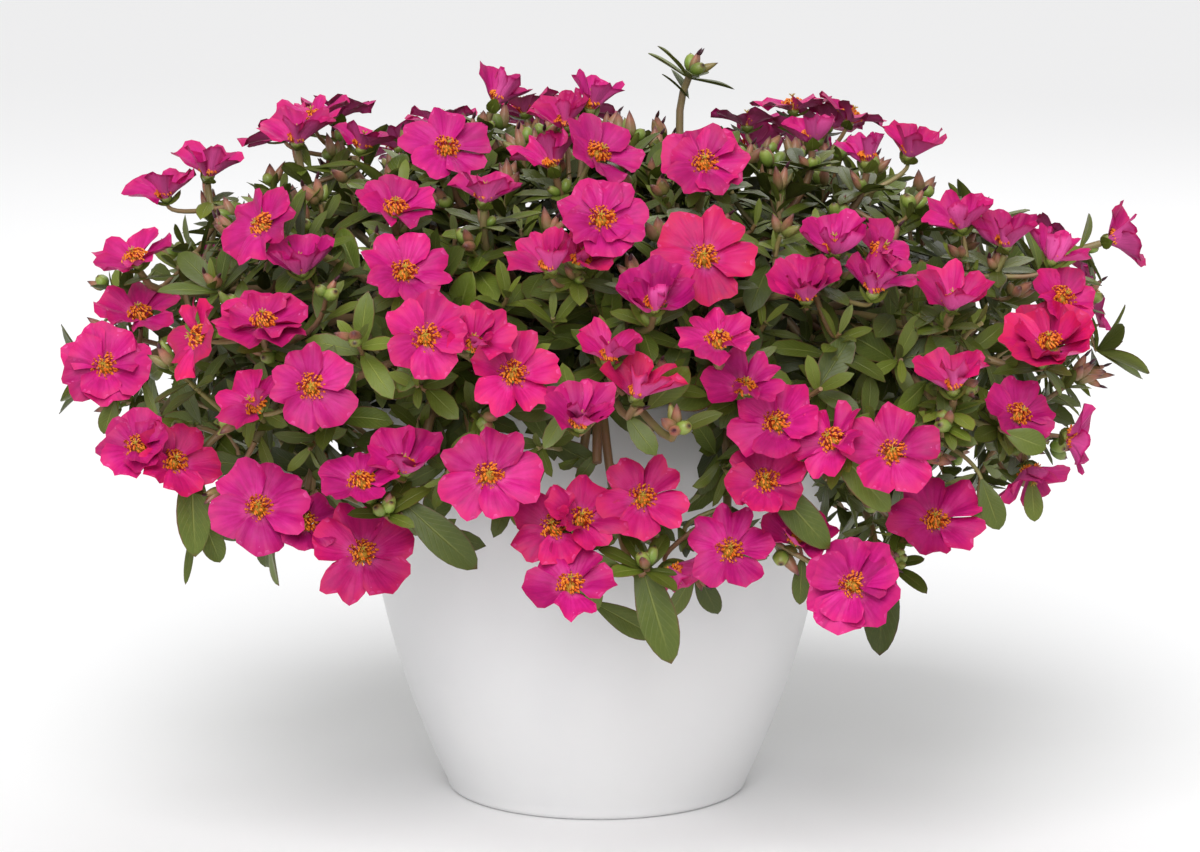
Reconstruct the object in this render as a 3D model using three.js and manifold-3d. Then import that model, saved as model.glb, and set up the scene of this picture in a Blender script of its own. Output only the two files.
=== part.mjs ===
// A portulaca in full bloom, in a plain round white pot.
// Millimetres, +Z up. The origin is the middle of the pot's foot, on the ground, and the front faces -Y.
// The plant is a cushion of leafy stems that root in the soil, arch over the rim and carry their blooms on
// its outside. Every bloom, leaf, bud and stem is a small closed shape, joined to what it grows from.
import * as THREE from "three";
import { mergeVertices } from "three/addons/utils/BufferGeometryUtils.js";
import Module from "manifold-3d";

const wasm = await Module();
wasm.setup();

// ---------------------------------------------------------------- driving dimensions

const pot = {
  height: 205,
  footRadius: 71,
  rimRadius: 114,
  bulge: 2.3, // power of the wall's curve: higher is rounder below the rim
  wall: 4,
  floor: 5,
  footEdge: 5, // width and height of the rounded edge round the foot
  drainRadius: 5,
  drainRing: 36, // the four drain holes' distance from the axis
  drains: 4,
  wallHeights: [14, 48, 100, 160], // where the wall's curve has its corners
  sides: 28,
};
const soil = { top: 190, dome: 3, gap: 0.3, holeRadius: 4.3, holeDepth: 18 };

// The cushion that the blooms lie on: a rounded box with half-widths to the side, front, top and bottom.
const cushion = { side: 250, front: 205, up: 120, down: 128, middle: 218, power: 2.1 };
// The hanging blooms keep this far from the pot's wall.
const potClearance = 36;
// The front of the plant is laid out as it is seen from here.
const eye = new THREE.Vector3(0, -1970, 523);

const mainStem = {
  ring: 30, // where it stands in the soil, from the axis
  arch: [[60, 236], [98, 242]], // radius and height of its way over the rim
  fall: [[0.62, 236], [0.76, 214], [0.84, 190]], // and of its way down, as a share of the cushion's radius
  leafShare: 0.7, // part of it that carries leaves
  radius: 3,
  sides: 3,
  steps: 6,
  gap: 0.3,
};
const shoot = {
  radius: 2.2,
  sides: 3,
  stepLength: 50,
  forkShare: 0.6, // it leaves the main stem at this share of its head's radius
  nearestFork: 42,
  furthestFork: 0.7, // as a share of the cushion's radius
  leaving: 0.4, // how far it keeps its first and last directions, as shares of its length
  arriving: 0.3,
};
const twig = { radius: 1.12, sides: 3, steps: 1, first: 18, spacing: 5, straight: 7, gap: 0.55 };
const petal = {
  floorRadius: 4.6,
  bossHeight: 5,
  valley: 0.6, // where two petals part, as a share of their length
  valleyDrop: 0.5,
  shoulder: 21, // half the angle between a petal's two corners
  wave: 1.4, // how far one of the two corners may stand above the other
  longestCone: 8,
  shortestCone: 3.2,
  closedLean: 25, // between a petal and its bloom's axis
  openLean: 78,
};
// A leaf's own shape, as shares of its length or of its width.
const leafShape = {
  thickness: 2,
  root: 1.2, // how far its foot goes on past its stem's middle
  narrowAt: 0.32,
  wideAt: 0.7,
  ribAt: 0.42,
  fold: 0.12, // of its width, up from the midrib to the edge
  droop: 0.1,
};
// Leaves by the golden angle along a shoot; away and along say how far they stand off it.
const leaf = {
  spacing: 29.5,
  first: 26, // from the shoot's end to its first leaf
  share: 0.75, // part of the shoot that carries leaves
  shortest: 24,
  longest: 37,
  ratio: 0.42,
  away: 0.83,
  along: 0.55,
};
// The narrow leaves round a head.
const collar = {
  depth: 11, // below the head
  shortest: 18,
  longest: 26,
  ratio: 0.3,
  away: 0.94,
  along: 0.35,
  unevenness: 0.6, // of the turn from one leaf to the next
};
// The large leaves that hang low in front: their tips are nearer to the eye than their feet by reach.
const low = { reach: 3, sink: 1.8, ratio: 0.32 };
const bud = {
  radius: 3,
  length: 12,
  depth: 8, // below a bloom
  headDepth: 1, // below the end of a head without blooms
  sink: 1.2,
  smallest: 0.8,
  largest: 1.15,
  away: 0.9,
};
// Side twigs that end in a rosette of leaves, tried at places spread evenly over the cushion.
const spur = {
  tries: 176,
  firstIndex: 1000,
  rise: 0.3, // how much a rosette turns up from the cushion
  lowest: 105, // above the ground
  depth: 11, // of the rosette's middle below the cushion's surface, at its side
  topDepth: 38, // and at its top
  leaves: 5,
  shortest: 24,
  longest: 32,
  ratio: 0.4,
  leastLean: 50, // between a leaf and the rosette's axis
  mostLean: 82,
  valley: 2.8, // distance from the axis where two leaves part
  above: 1, // the rosette's middle, above and below the place where its leaves meet
  below: 2.8,
  under: 9, // its twig starts from the wood nearest to a place this far under it
  longestTwig: 75,
  woodSpacing: 10,
};
const clearance = 0.45; // least room between a leaf or bud and another solid
const leastRoot = 0.05; // cubic millimetres that a piece shares with its stem
// Most faces that the root of a piece may add where it meets its stem.
const rootFaces = { low: 36, other: 14, spur: 17 };
const goldenAngle = 137.5;

// Azimuths of the leafy stems, in degrees from +X: seven along the front, three along the back.
const stemAzimuths = [
  ...Array.from({ length: 7 }, (_, i) => -168 + 26 * i),
  ...Array.from({ length: 3 }, (_, i) => 30 + 60 * i),
];

// One row a truss of touching blooms; one entry a bloom:
// [across, height, turn, tilt, open, petal length, sink]. Across and height are where the eye sees its middle
// against the plane y = 0. Tilt is the angle between its axis and the line to the eye, and turn is where it
// leans: 0 up, 90 to the right. Open runs from 0, a cup, to 1, nearly flat. Sink moves it away from the eye:
// the first bloom of a truss from the cushion's surface, the others from the first.
const frontTrusses = [
  [[-44, 340, 26, 80, 0.3, 21, -38]],
  [[-23, 309, -15, 74, 0.45, 22, 7], [2, 309, 40, 48, 0.75, 21, -4], [-16, 326, -8, 62, 0.7, 21, 17],
    [-2, 337, 12, 74, 0.35, 20, 20]],
  [[-142, 318, 0, 66, 0.75, 22, 0], [-111, 314, 12, 80, 0.8, 19, 0]],
  [[-71, 311, 15, 40, 0.88, 22, 0]],
  [[51, 303, 0, 32, 1, 21, 0]],
  [[101, 321, -5, 78, 0.45, 18, 0]],
  [[128, 311, 0, 76, 0.4, 18, 0], [149, 313, 8, 70, 0.6, 21, 0]],
  [[-184, 303, 5, 68, 0.65, 22, 0], [-206, 291, -12, 70, 0.8, 21, 0]],
  [[-160, 273, -60, 52, 0.95, 22, 0], [-142, 258, -10, 62, 0.6, 22, -11]],
  [[-160, 228, 0, 60, 0.95, 24, 0], [-192, 219, -75, 60, 0.9, 21, 6]],
  [[-96, 284, 5, 50, 0.65, 21, 0]],
  [[-53, 291, 4, 72, 0.65, 20, 0]],
  [[-7, 259, 15, 45, 0.7, 19, 6], [2, 276, 0, 28, 1, 21, 7], [-24, 259, -12, 56, 0.5, 21, -6]],
  [[51, 258, 0, 24, 0.92, 24, 0]],
  [[-221, 259, -20, 62, 0.8, 21, 0]],
  [[-236, 205, -30, 22, 1, 23, 0], [-219, 232, -8, 58, 0.85, 22, 16]],
  [[-92, 251, 8, 36, 0.92, 22, 11]],
  [[-82, 219, 0, 18, 1, 21, 0], [-59, 218, 10, 38, 0.75, 21, 5], [-40, 202, 10, 25, 0.9, 23, 3]],
  [[-137, 195, 0, 12, 1, 21, 0], [-165, 187, -40, 48, 0.9, 20, 8]],
  [[27, 241, 0, 48, 0.5, 23, -8]],
  [[58, 219, 5, 52, 0.8, 20, -2]],
  [[71, 196, 10, 35, 0.9, 20, 18]],
  [[113, 267, 0, 62, 0.65, 22, 0], [99, 244, -5, 45, 0.5, 23, -8], [133, 248, 10, 58, 0.5, 21, -3],
    [135, 262, 50, 50, 0.9, 18, 10]],
  [[170, 241, 5, 54, 0.55, 23, 0]],
  [[195, 271, 4, 62, 0.5, 22, 0], [172, 279, -12, 68, 0.6, 21, 0], [220, 264, 22, 70, 0.45, 19, 0]],
  [[251, 268, 72, 76, 0.6, 22, 0]],
  [[216, 220, -8, 48, 0.62, 24, 0], [223, 239, 40, 42, 0.8, 18, 18]],
  [[170, 201, -4, 64, 0.6, 23, 0]],
  [[21, 198, 14, 58, 0.5, 22, 0], [6, 214, 5, 54, 0.6, 20, 0], [-8, 182, 8, 45, 0.6, 23, -12]],
  [[112, 170, -40, 42, 0.8, 20, -4], [86, 178, -18, 28, 0.85, 22, 5], [142, 163, 0, 20, 1, 23, -6]],
  [[81, 149, 0, 28, 0.95, 20, 10]],
  [[163, 130, 0, 36, 1, 24, 0]],
  [[-114, 150, -10, 46, 0.85, 21, 0], [-93, 160, -4, 48, 0.65, 22, 0]],
  [[-52, 152, 5, 18, 1, 24, 0]],
  [[-203, 159, 20, 32, 0.92, 22, 0], [-221, 166, -25, 30, 0.9, 20, 0]],
  [[-141, 129, 12, 40, 0.9, 19, 3], [-163, 136, -10, 20, 1, 24, 0], [-113, 114, 0, 24, 1, 25, -5]],
  [[-8, 131, 20, 34, 0.9, 21, 0], [22, 141, 0, 20, 1, 23, 6], [-21, 127, -30, 30, 0.9, 21, 0],
    [-13, 99, 0, 42, 0.92, 22, -14]],
  [[64, 115, 14, 24, 1, 22, 0], [97, 123, 20, 42, 0.8, 19, 9], [123, 98, -60, 20, 0.92, 24, -3],
    [37, 102, 150, 68, 0.8, 18, 4]],
  [[209, 151, 160, 64, 0.8, 20, 0], [230, 170, 98, 72, 0.85, 20, 4]],
  [[203, 182, 40, 42, 0.85, 19, 12]],
];

// Heads that carry only buds and capsules, as [across, height, turn, tilt, sink].
const bareHeads = [
  [44, 345, 28, 82, -40],
  [38, 174, 0, 40, 0],
  [-102, 133, -20, 40, 0],
  [168, 176, 10, 40, 0],
  [24, 106, 20, 50, -22],
  [143, 108, 20, 40, 2],
];

// The large low leaves, as [head, across, height]: where the eye sees the tip of a leaf that grows from
// that head.
const lowLeaves = [
  [51, -58, 106],
  [53, 36, 59],
  [54, 137, 63],
  [30, 141, 134],
  [31, 112, 116],
  [35, -194, 112],
];

// The back of the plant, by rule: trusses of three blooms in three rows round it.
const backTruss = {
  count: 8,
  firstAzimuth: 18,
  lastAzimuth: 162,
  latitudes: [4, 34, 26],
  spread: 16.6,
  splay: 0.35, // how much a bloom turns away from its mates, and up
  rise: 0.25,
  petalLength: 21,
};

// ---------------------------------------------------------------- small tools

const up = new THREE.Vector3(0, 0, 1);
const right = new THREE.Vector3(1, 0, 0);
const radians = THREE.MathUtils.degToRad;
const lerp = THREE.MathUtils.lerp;
const clamp = THREE.MathUtils.clamp;

// The same number between 0 and 1 each time for one index and one kind of draw.
function draw(index, kind) {
  const value = Math.sin(index * 12.9898 + kind * 78.233) * 43758.5453;
  return value - Math.floor(value);
}

function solidOf(geometry) {
  const bare = new THREE.BufferGeometry().setAttribute("position", geometry.getAttribute("position"));
  if (geometry.index) bare.setIndex(geometry.index);
  const merged = mergeVertices(bare, 1e-4);
  const vertProperties = new Float32Array(merged.getAttribute("position").array);
  const triVerts = new Uint32Array(merged.index.array);
  return new wasm.Manifold(new wasm.Mesh({ numProp: 3, vertProperties, triVerts }));
}

function solidFromPoints(points, faces) {
  const geometry = new THREE.BufferGeometry().setFromPoints(points);
  geometry.setIndex(faces.flat());
  return solidOf(geometry);
}

// Points given round an axis, set at a place along that axis.
function solidInFrame(points, faces, place, axis) {
  const side = new THREE.Vector3().crossVectors(up, axis);
  if (side.length() < 0.05) side.copy(right);
  side.normalize();
  const frame = new THREE.Matrix4().makeBasis(side, axis.clone().cross(side), axis);
  frame.setPosition(place);
  return solidFromPoints(points.map((point) => point.applyMatrix4(frame)), faces);
}

function join(solids) {
  return solids.reduce((whole, solid) => whole.add(solid));
}

function geometryOf(solid) {
  const mesh = solid.getMesh();
  const geometry = new THREE.BufferGeometry();
  geometry.setAttribute("position", new THREE.BufferAttribute(new Float32Array(mesh.vertProperties), 3));
  geometry.setIndex(new THREE.BufferAttribute(new Uint32Array(mesh.triVerts), 1));
  return geometry.toNonIndexed();
}

// A round stem of a few sides along a curve.
function stemSolid(curve, radius, sides, steps) {
  const section = new THREE.Shape(
    Array.from({ length: sides }, (_, i) => {
      const angle = (2 * Math.PI * i) / sides;
      return new THREE.Vector2(radius * Math.cos(angle), radius * Math.sin(angle));
    }),
  );
  return solidOf(new THREE.ExtrudeGeometry(section, { steps, extrudePath: curve, bevelEnabled: false }));
}

// ---------------------------------------------------------------- pot and soil

function potRadiusAt(height) {
  const share = clamp(height / pot.height, 0, 1);
  return pot.footRadius + (pot.rimRadius - pot.footRadius) * (1 - (1 - share) ** pot.bulge);
}

function latheSolid(profile, sides) {
  // A lathe turns about +Y, so it is stood up on +Z.
  const points = profile.map(([radius, height]) => new THREE.Vector2(radius, height));
  return solidOf(new THREE.LatheGeometry(points, sides).rotateX(Math.PI / 2));
}

function makePot() {
  const lip = 1.2;
  const profile = [
    [0, 0],
    [pot.footRadius - pot.footEdge, 0],
    [pot.footRadius - 1, 1.5],
    ...pot.wallHeights.map((height) => [potRadiusAt(height), height]),
    [pot.rimRadius, pot.height - lip],
    [pot.rimRadius - lip, pot.height],
    [pot.rimRadius - pot.wall, pot.height],
    ...pot.wallHeights.toReversed().map((height) => [potRadiusAt(height) - pot.wall, height]),
    [potRadiusAt(pot.floor) - pot.wall - 3, pot.floor],
    [0, pot.floor],
  ];
  const holes = Array.from({ length: pot.drains }, (_, i) => {
    const angle = (2 * Math.PI * (i + 0.5)) / pot.drains;
    const hole = new THREE.CylinderGeometry(pot.drainRadius, pot.drainRadius, 3 * pot.floor, 8);
    hole.rotateX(Math.PI / 2);
    hole.translate(pot.drainRing * Math.cos(angle), pot.drainRing * Math.sin(angle), pot.floor / 2);
    return solidOf(hole);
  });
  return latheSolid(profile, pot.sides).subtract(join(holes));
}

function stemFoot(azimuth) {
  const angle = radians(azimuth);
  return new THREE.Vector2(mainStem.ring * Math.cos(angle), mainStem.ring * Math.sin(angle));
}

// The soil fills the pot to below its rim, and has a plain hole for the foot of each stem.
function makeSoil() {
  const inset = pot.wall + soil.gap;
  const bottom = pot.floor + soil.gap;
  const profile = [
    [0, bottom],
    [potRadiusAt(bottom) - inset - 3, bottom],
    ...pot.wallHeights.map((height) => [potRadiusAt(height) - inset, height]),
    [potRadiusAt(soil.top) - inset - 0.3, soil.top],
    [0, soil.top + soil.dome],
  ];
  const holes = stemAzimuths.map((azimuth) => {
    const hole = new THREE.CylinderGeometry(soil.holeRadius, soil.holeRadius, soil.holeDepth + 20, 6);
    hole.rotateX(Math.PI / 2);
    const foot = stemFoot(azimuth);
    hole.translate(foot.x, foot.y, soil.top + 10 - soil.holeDepth / 2);
    return solidOf(hole);
  });
  return latheSolid(profile, pot.sides).subtract(join(holes));
}

// ---------------------------------------------------------------- places on the cushion

// Below zero inside the cushion or close round the pot.
function outside(point) {
  const { side, front, up: rise, down, middle, power } = cushion;
  const dz = point.z - middle;
  const sum =
    Math.abs(point.x / side) ** power +
    Math.abs(point.y / front) ** power +
    Math.abs(dz / (dz > 0 ? rise : down)) ** power;
  const fromPot = Math.hypot(point.x, point.y) / (potRadiusAt(point.z) + potClearance);
  return Math.min(sum ** (1 / power), point.z > 60 && point.z < 230 ? fromPot : 9) - 1;
}

function sightLine(across, height) {
  return new THREE.Vector3(across, 0, height).sub(eye).normalize();
}

// How far from the eye its line through (across, 0, height) meets the cushion, or passes nearest to it.
function sightDistance(across, height) {
  const line = sightLine(across, height);
  const value = (distance) => outside(eye.clone().addScaledVector(line, distance));
  let nearest = 1650;
  for (let distance = 1650; distance < 2250; distance += 1) {
    if (value(distance) < value(nearest)) nearest = distance;
    if (value(distance) < 0) break;
  }
  return nearest;
}

// The outward direction of the cushion at a point on it or in it.
function outward(point) {
  const { side, front, up: rise, down, middle, power } = cushion;
  const slope = (value, half) => (Math.sign(value) * Math.abs(value / half) ** (power - 1)) / half;
  const dz = point.z - middle;
  return new THREE.Vector3(
    slope(point.x, side),
    slope(point.y, front),
    slope(dz, dz > 0 ? rise : down),
  ).normalize();
}

// A place at a distance from the eye, with the axis that leans by tilt from the line to the eye.
function sightedPlace(across, height, turn, tilt, distance) {
  const line = sightLine(across, height);
  const upright = right.clone().cross(line).normalize();
  const axis = line
    .clone()
    .multiplyScalar(-Math.cos(radians(tilt)))
    .addScaledVector(right, Math.sin(radians(tilt)) * Math.sin(radians(turn)))
    .addScaledVector(upright, Math.sin(radians(tilt)) * Math.cos(radians(turn)));
  return { point: eye.clone().addScaledVector(line, distance), axis: axis.normalize() };
}

// ---------------------------------------------------------------- blooms

// How far below its floor the green cone under a bloom reaches: a closed bloom has the longer one.
function coneDepth(open) {
  return lerp(petal.longestCone, petal.shortestCone, open);
}

// Five petals round a low boss of stamens, on the point of a cone that its stalk ends under.
function bloomSolid(bloom) {
  const { floorRadius, bossHeight, valley, shoulder } = petal;
  const lean = petalLean(bloom.open);
  const place = (reach, angle, lift) => {
    const radius = floorRadius + (reach - floorRadius) * Math.sin(lean);
    const height = (reach - floorRadius) * Math.cos(lean) + lift;
    return new THREE.Vector3(radius * Math.cos(angle), radius * Math.sin(angle), height);
  };
  const floor = [];
  const rim = [];
  for (let i = 0; i < 5; i++) {
    const middle = radians(72 * i) + bloom.spin;
    const reach = bloom.length * lerp(0.93, 1.05, draw(bloom.index * 5 + i, 1));
    const wave = petal.wave * (draw(bloom.index * 5 + i, 2) - 0.2);
    floor.push(place(floorRadius, middle, 0));
    rim.push(place(valley * bloom.length, middle - radians(36), -petal.valleyDrop));
    rim.push(place(reach, middle - radians(shoulder), wave));
    rim.push(place(reach, middle + radians(shoulder), -wave));
  }
  const boss = new THREE.Vector3(0, 0, bossHeight);
  const cone = new THREE.Vector3(0, 0, -coneDepth(bloom.open));
  const points = [...floor, ...rim, boss, cone];
  const bossPoint = 20;
  const conePoint = 21;
  const faces = [];
  for (let i = 0; i < 5; i++) {
    const next = (i + 1) % 5;
    const [valleyPoint, left, rightPoint, nextValley] = [5 + 3 * i, 6 + 3 * i, 7 + 3 * i, 5 + 3 * next];
    faces.push([bossPoint, i, next], [i, nextValley, next]);
    faces.push([i, valleyPoint, left], [i, left, rightPoint], [i, rightPoint, nextValley]);
    faces.push([conePoint, left, valleyPoint], [conePoint, rightPoint, left]);
    faces.push([conePoint, nextValley, rightPoint]);
  }
  return solidInFrame(points, faces, bloom.point, bloom.axis);
}

function petalLean(open) {
  return radians(lerp(petal.closedLean, petal.openLean, open));
}

function makeFrontTrusses() {
  let index = 0;
  return frontTrusses.map((rows) => {
    const distance = sightDistance(rows[0][0], rows[0][1]);
    return rows.map(([across, height, turn, tilt, open, length, sink]) => {
      index += 1;
      const place = sightedPlace(across, height, turn, tilt, distance + sink);
      // The bloom's middle is half its depth above its floor.
      place.point.addScaledVector(place.axis, -0.5 * length * Math.cos(petalLean(open)));
      return { ...place, open, length, spin: 2 * Math.PI * draw(index, 3), index };
    });
  });
}

// The point of the cushion in a direction from its middle.
function pointTowards(azimuth, latitude) {
  const direction = new THREE.Vector3(
    Math.cos(radians(latitude)) * Math.cos(radians(azimuth)),
    Math.cos(radians(latitude)) * Math.sin(radians(azimuth)),
    Math.sin(radians(latitude)),
  );
  const middle = new THREE.Vector3(0, 0, cushion.middle);
  let reach = 320;
  while (outside(middle.clone().addScaledVector(direction, reach)) > 0) reach -= 1;
  return middle.addScaledVector(direction, reach);
}

function makeBackTrusses() {
  return Array.from({ length: backTruss.count }, (_, number) => {
    const share = number / (backTruss.count - 1);
    const azimuth = lerp(backTruss.firstAzimuth, backTruss.lastAzimuth, share);
    const latitude = backTruss.latitudes[number % 3];
    const centre = pointTowards(azimuth, latitude);
    const out = outward(centre);
    const along = new THREE.Vector3().crossVectors(up, out).normalize();
    const across = out.clone().cross(along);
    return Array.from({ length: 3 }, (_, i) => {
      const index = 200 + 3 * number + i;
      const angle = 2 * Math.PI * (i / 3 + draw(number, 4));
      const aside = along.clone().multiplyScalar(Math.cos(angle)).addScaledVector(across, Math.sin(angle));
      const point = centre.clone().addScaledVector(aside, backTruss.spread);
      const axis = out.clone().addScaledVector(aside, backTruss.splay).addScaledVector(up, backTruss.rise);
      axis.normalize();
      const open = lerp(0.78, 0.95, draw(index, 5));
      return { point, axis, open, length: backTruss.petalLength, spin: 2 * Math.PI * draw(index, 3), index };
    });
  });
}

// ---------------------------------------------------------------- leaves and buds

// What grows on one head has this many indexes of its own: leaves from 0, its collar from 20, buds from 30.
const piecesAHead = 40;

// A fleshy spatula-shaped leaf, folded a little along its midrib, that starts inside the stem.
function leafSolid({ foot, direction, face, length, width }) {
  const { thickness, root, narrowAt, wideAt, ribAt } = leafShape;
  const half = width / 2;
  const fold = leafShape.fold * width;
  const droop = -leafShape.droop * length;
  const points = [
    [0, -root, 0],
    [-0.5 * half, narrowAt * length, fold],
    [-half, wideAt * length, fold + 0.3 * droop],
    [0, length, droop],
    [half, wideAt * length, fold + 0.3 * droop],
    [0.5 * half, narrowAt * length, fold],
    [0, ribAt * length, thickness / 2],
    [0, ribAt * length, -thickness / 2],
  ];
  const faces = [];
  for (let i = 0; i < 6; i++) faces.push([6, (i + 1) % 6, i], [7, i, (i + 1) % 6]);
  const side = direction.clone().cross(face).normalize();
  const frame = new THREE.Matrix4().makeBasis(side, direction, side.clone().cross(direction));
  frame.setPosition(foot);
  return solidFromPoints(points.map((point) => new THREE.Vector3(...point).applyMatrix4(frame)), faces);
}

function budSolid(foot, direction, radius, length) {
  const shape = new THREE.OctahedronGeometry(1).scale(radius, length / 2, radius);
  const turn = new THREE.Quaternion().setFromUnitVectors(new THREE.Vector3(0, 1, 0), direction);
  shape.applyQuaternion(turn);
  const middle = foot.clone().addScaledVector(direction, length / 2 - bud.sink);
  return solidOf(shape.translate(middle.x, middle.y, middle.z));
}

// Leaves set round a shoot by the golden angle.
function leavesAlong(joints, length, number) {
  const count = Math.floor((leaf.share * length) / leaf.spacing);
  return Array.from({ length: count }, (_, i) => {
    const index = piecesAHead * number + i;
    const { point, tangent } = placeOnShoot(joints, leaf.first + leaf.spacing * i);
    const out = outward(point);
    const aside = tangent.clone().cross(out).normalize();
    const turn = radians(goldenAngle * i) + 2 * Math.PI * draw(number, 6);
    const across = aside.clone().cross(tangent);
    const spread = aside.multiplyScalar(Math.cos(turn)).addScaledVector(across, Math.sin(turn));
    const direction = tangent.clone().multiplyScalar(leaf.along).addScaledVector(spread, leaf.away);
    direction.normalize();
    const reach = lerp(leaf.shortest, leaf.longest, draw(index, 7));
    return { foot: point, direction, face: out, length: reach, width: leaf.ratio * reach };
  });
}

function lowLeaf(joints, across, height) {
  const { point } = placeOnShoot(joints, collar.depth);
  const distance = point.distanceTo(eye) - low.reach;
  const tip = eye.clone().addScaledVector(sightLine(across, height), distance);
  const span = tip.sub(point);
  const length = span.length() + low.sink;
  const face = eye.clone().sub(point).normalize();
  const direction = span.normalize();
  const foot = point.clone().addScaledVector(direction, -low.sink);
  return { foot, direction, face, length, width: low.ratio * length };
}

// The narrow leaves that stand round a head.
function collarLeaves(head, joints, number) {
  const { point } = placeOnShoot(joints, collar.depth);
  return Array.from({ length: head.collar }, (_, i) => {
    const index = piecesAHead * number + 20 + i;
    const side = head.axis.clone().cross(Math.abs(head.axis.z) > 0.9 ? right : up).normalize();
    const turn = (2 * Math.PI * (i + collar.unevenness * draw(index, 8))) / head.collar;
    const spread = side.applyAxisAngle(head.axis, turn);
    const direction = head.axis.clone().multiplyScalar(collar.along).addScaledVector(spread, collar.away);
    direction.normalize();
    const reach = lerp(collar.shortest, collar.longest, draw(index, 9));
    return { foot: point, direction, face: head.axis, length: reach, width: collar.ratio * reach };
  });
}

function budsOn(head, joints, number) {
  const { point } = placeOnShoot(joints, head.mates.length || head.buds < 2 ? bud.depth : bud.headDepth);
  return Array.from({ length: head.buds }, (_, i) => {
    const index = piecesAHead * number + 30 + i;
    const side = head.axis.clone().cross(Math.abs(head.axis.z) > 0.9 ? right : up).normalize();
    const turn = 2 * Math.PI * (i / head.buds + 0.15 + 0.3 * draw(index, 10));
    const spread = side.applyAxisAngle(head.axis, turn);
    const direction = head.axis.clone().addScaledVector(spread, bud.away).normalize();
    const size = lerp(bud.smallest, bud.largest, draw(index, 11));
    return budSolid(point, direction, bud.radius * size, bud.length * size);
  });
}

// Leaves that spread from one point, as one body: each has its two edges, its tip and its midrib.
function rosetteSolid(place, axis, index) {
  const { above, below, leaves, valley } = spur;
  const points = [new THREE.Vector3(0, 0, above), new THREE.Vector3(0, 0, -below)];
  const faces = [];
  for (let i = 0; i < leaves; i++) {
    const { reach, lean, turn } = rosetteLeaf(index, i);
    const out = new THREE.Vector3(Math.cos(turn), Math.sin(turn), 0);
    const aside = new THREE.Vector3(-Math.sin(turn), Math.cos(turn), 0);
    const direction = out.clone().multiplyScalar(Math.sin(lean)).addScaledVector(up, Math.cos(lean));
    const normal = aside.clone().cross(direction);
    const edge = (sign) =>
      direction
        .clone()
        .multiplyScalar(leafShape.wideAt * reach)
        .addScaledVector(aside, (sign * spur.ratio * reach) / 2)
        .addScaledVector(normal, (leafShape.fold * spur.ratio - 0.3 * leafShape.droop) * reach);
    const parting = turn - Math.PI / leaves;
    points.push(new THREE.Vector3(valley * Math.cos(parting), valley * Math.sin(parting), 0));
    points.push(edge(-1));
    points.push(direction.clone().multiplyScalar(reach).addScaledVector(normal, -leafShape.droop * reach));
    points.push(edge(1));
    const corner = (step) => 2 + ((4 * i + step) % (4 * leaves));
    const [start, left, tip, rightEdge, next] = [0, 1, 2, 3, 4].map(corner);
    faces.push([0, start, left], [0, left, tip], [0, tip, rightEdge], [0, rightEdge, next]);
    faces.push([1, left, start], [1, tip, left], [1, rightEdge, tip], [1, next, rightEdge]);
  }
  return solidInFrame(points, faces, place, axis);
}

function rosetteLeaf(index, i) {
  return {
    reach: lerp(spur.shortest, spur.longest, draw(index * 5 + i, 13)),
    lean: radians(lerp(spur.leastLean, spur.mostLean, draw(index * 5 + i, 14))),
    turn: 2 * Math.PI * (i / spur.leaves + draw(index, 12)),
  };
}

// ---------------------------------------------------------------- leafy stems

// The main stem rises from its hole, arches over the rim and sinks towards the cushion's edge.
function mainCurve(azimuth) {
  const angle = radians(azimuth);
  const edge = Math.hypot(...pointTowards(azimuth, 0).toArray().slice(0, 2));
  const route = [
    [mainStem.ring, soil.top - soil.holeDepth + mainStem.gap],
    [mainStem.ring + 0.5, soil.top + 22],
    ...mainStem.arch,
    ...mainStem.fall.map(([share, height]) => [share * edge, height]),
  ];
  const away = new THREE.Vector3(Math.cos(angle), Math.sin(angle), 0);
  const place = ([radius, height]) => away.clone().multiplyScalar(radius).setZ(height);
  return new THREE.CatmullRomCurve3(route.map(place));
}

// The place on the straight stretches between joints that lies first at a radius from the pot's axis.
function placeAtRadius(joints, radius) {
  const radii = joints.map((joint) => Math.hypot(joint.x, joint.y));
  const next = Math.max(1, radii.findIndex((value) => value > radius));
  const share = clamp((radius - radii[next - 1]) / (radii[next] - radii[next - 1]), 0, 1);
  return joints[next - 1].clone().lerp(joints[next], share);
}

// The shoot leaves the main stem and ends under the head's first bloom, square to its floor.
function shootCurve(stem, head) {
  const radius = Math.hypot(head.end.x, head.end.y);
  const fork = clamp(shoot.forkShare * radius, shoot.nearestFork, shoot.furthestFork * stem.edge);
  const start = placeAtRadius(stem.joints, fork);
  const span = head.end.clone().sub(start);
  const distance = span.length();
  span.normalize();
  const away = new THREE.Vector3(Math.cos(stem.angle), Math.sin(stem.angle), 0);
  const leaving = away.multiplyScalar(1 - 0.4 * Math.max(span.z, 0)).addScaledVector(up, 0.3 + span.z);
  return new THREE.CubicBezierCurve3(
    start,
    start.clone().addScaledVector(leaving.normalize(), shoot.leaving * distance),
    head.end.clone().addScaledVector(head.axis, -shoot.arriving * distance),
    head.end,
  );
}

// A place on the straight stretches between a shoot's joints, counted in millimetres back from its end.
function placeOnShoot(joints, back) {
  let left = back;
  for (let i = joints.length - 1; i > 0; i--) {
    const span = joints[i].clone().sub(joints[i - 1]);
    const length = span.length();
    const tangent = span.normalize();
    if (left <= length) return { point: joints[i].clone().addScaledVector(tangent, -left), tangent };
    left -= length;
  }
  return { point: joints[0].clone(), tangent: joints[1].clone().sub(joints[0]).normalize() };
}

function underFloor(bloom) {
  return bloom.point.clone().addScaledVector(bloom.axis, -coneDepth(bloom.open) - twig.gap);
}

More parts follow.
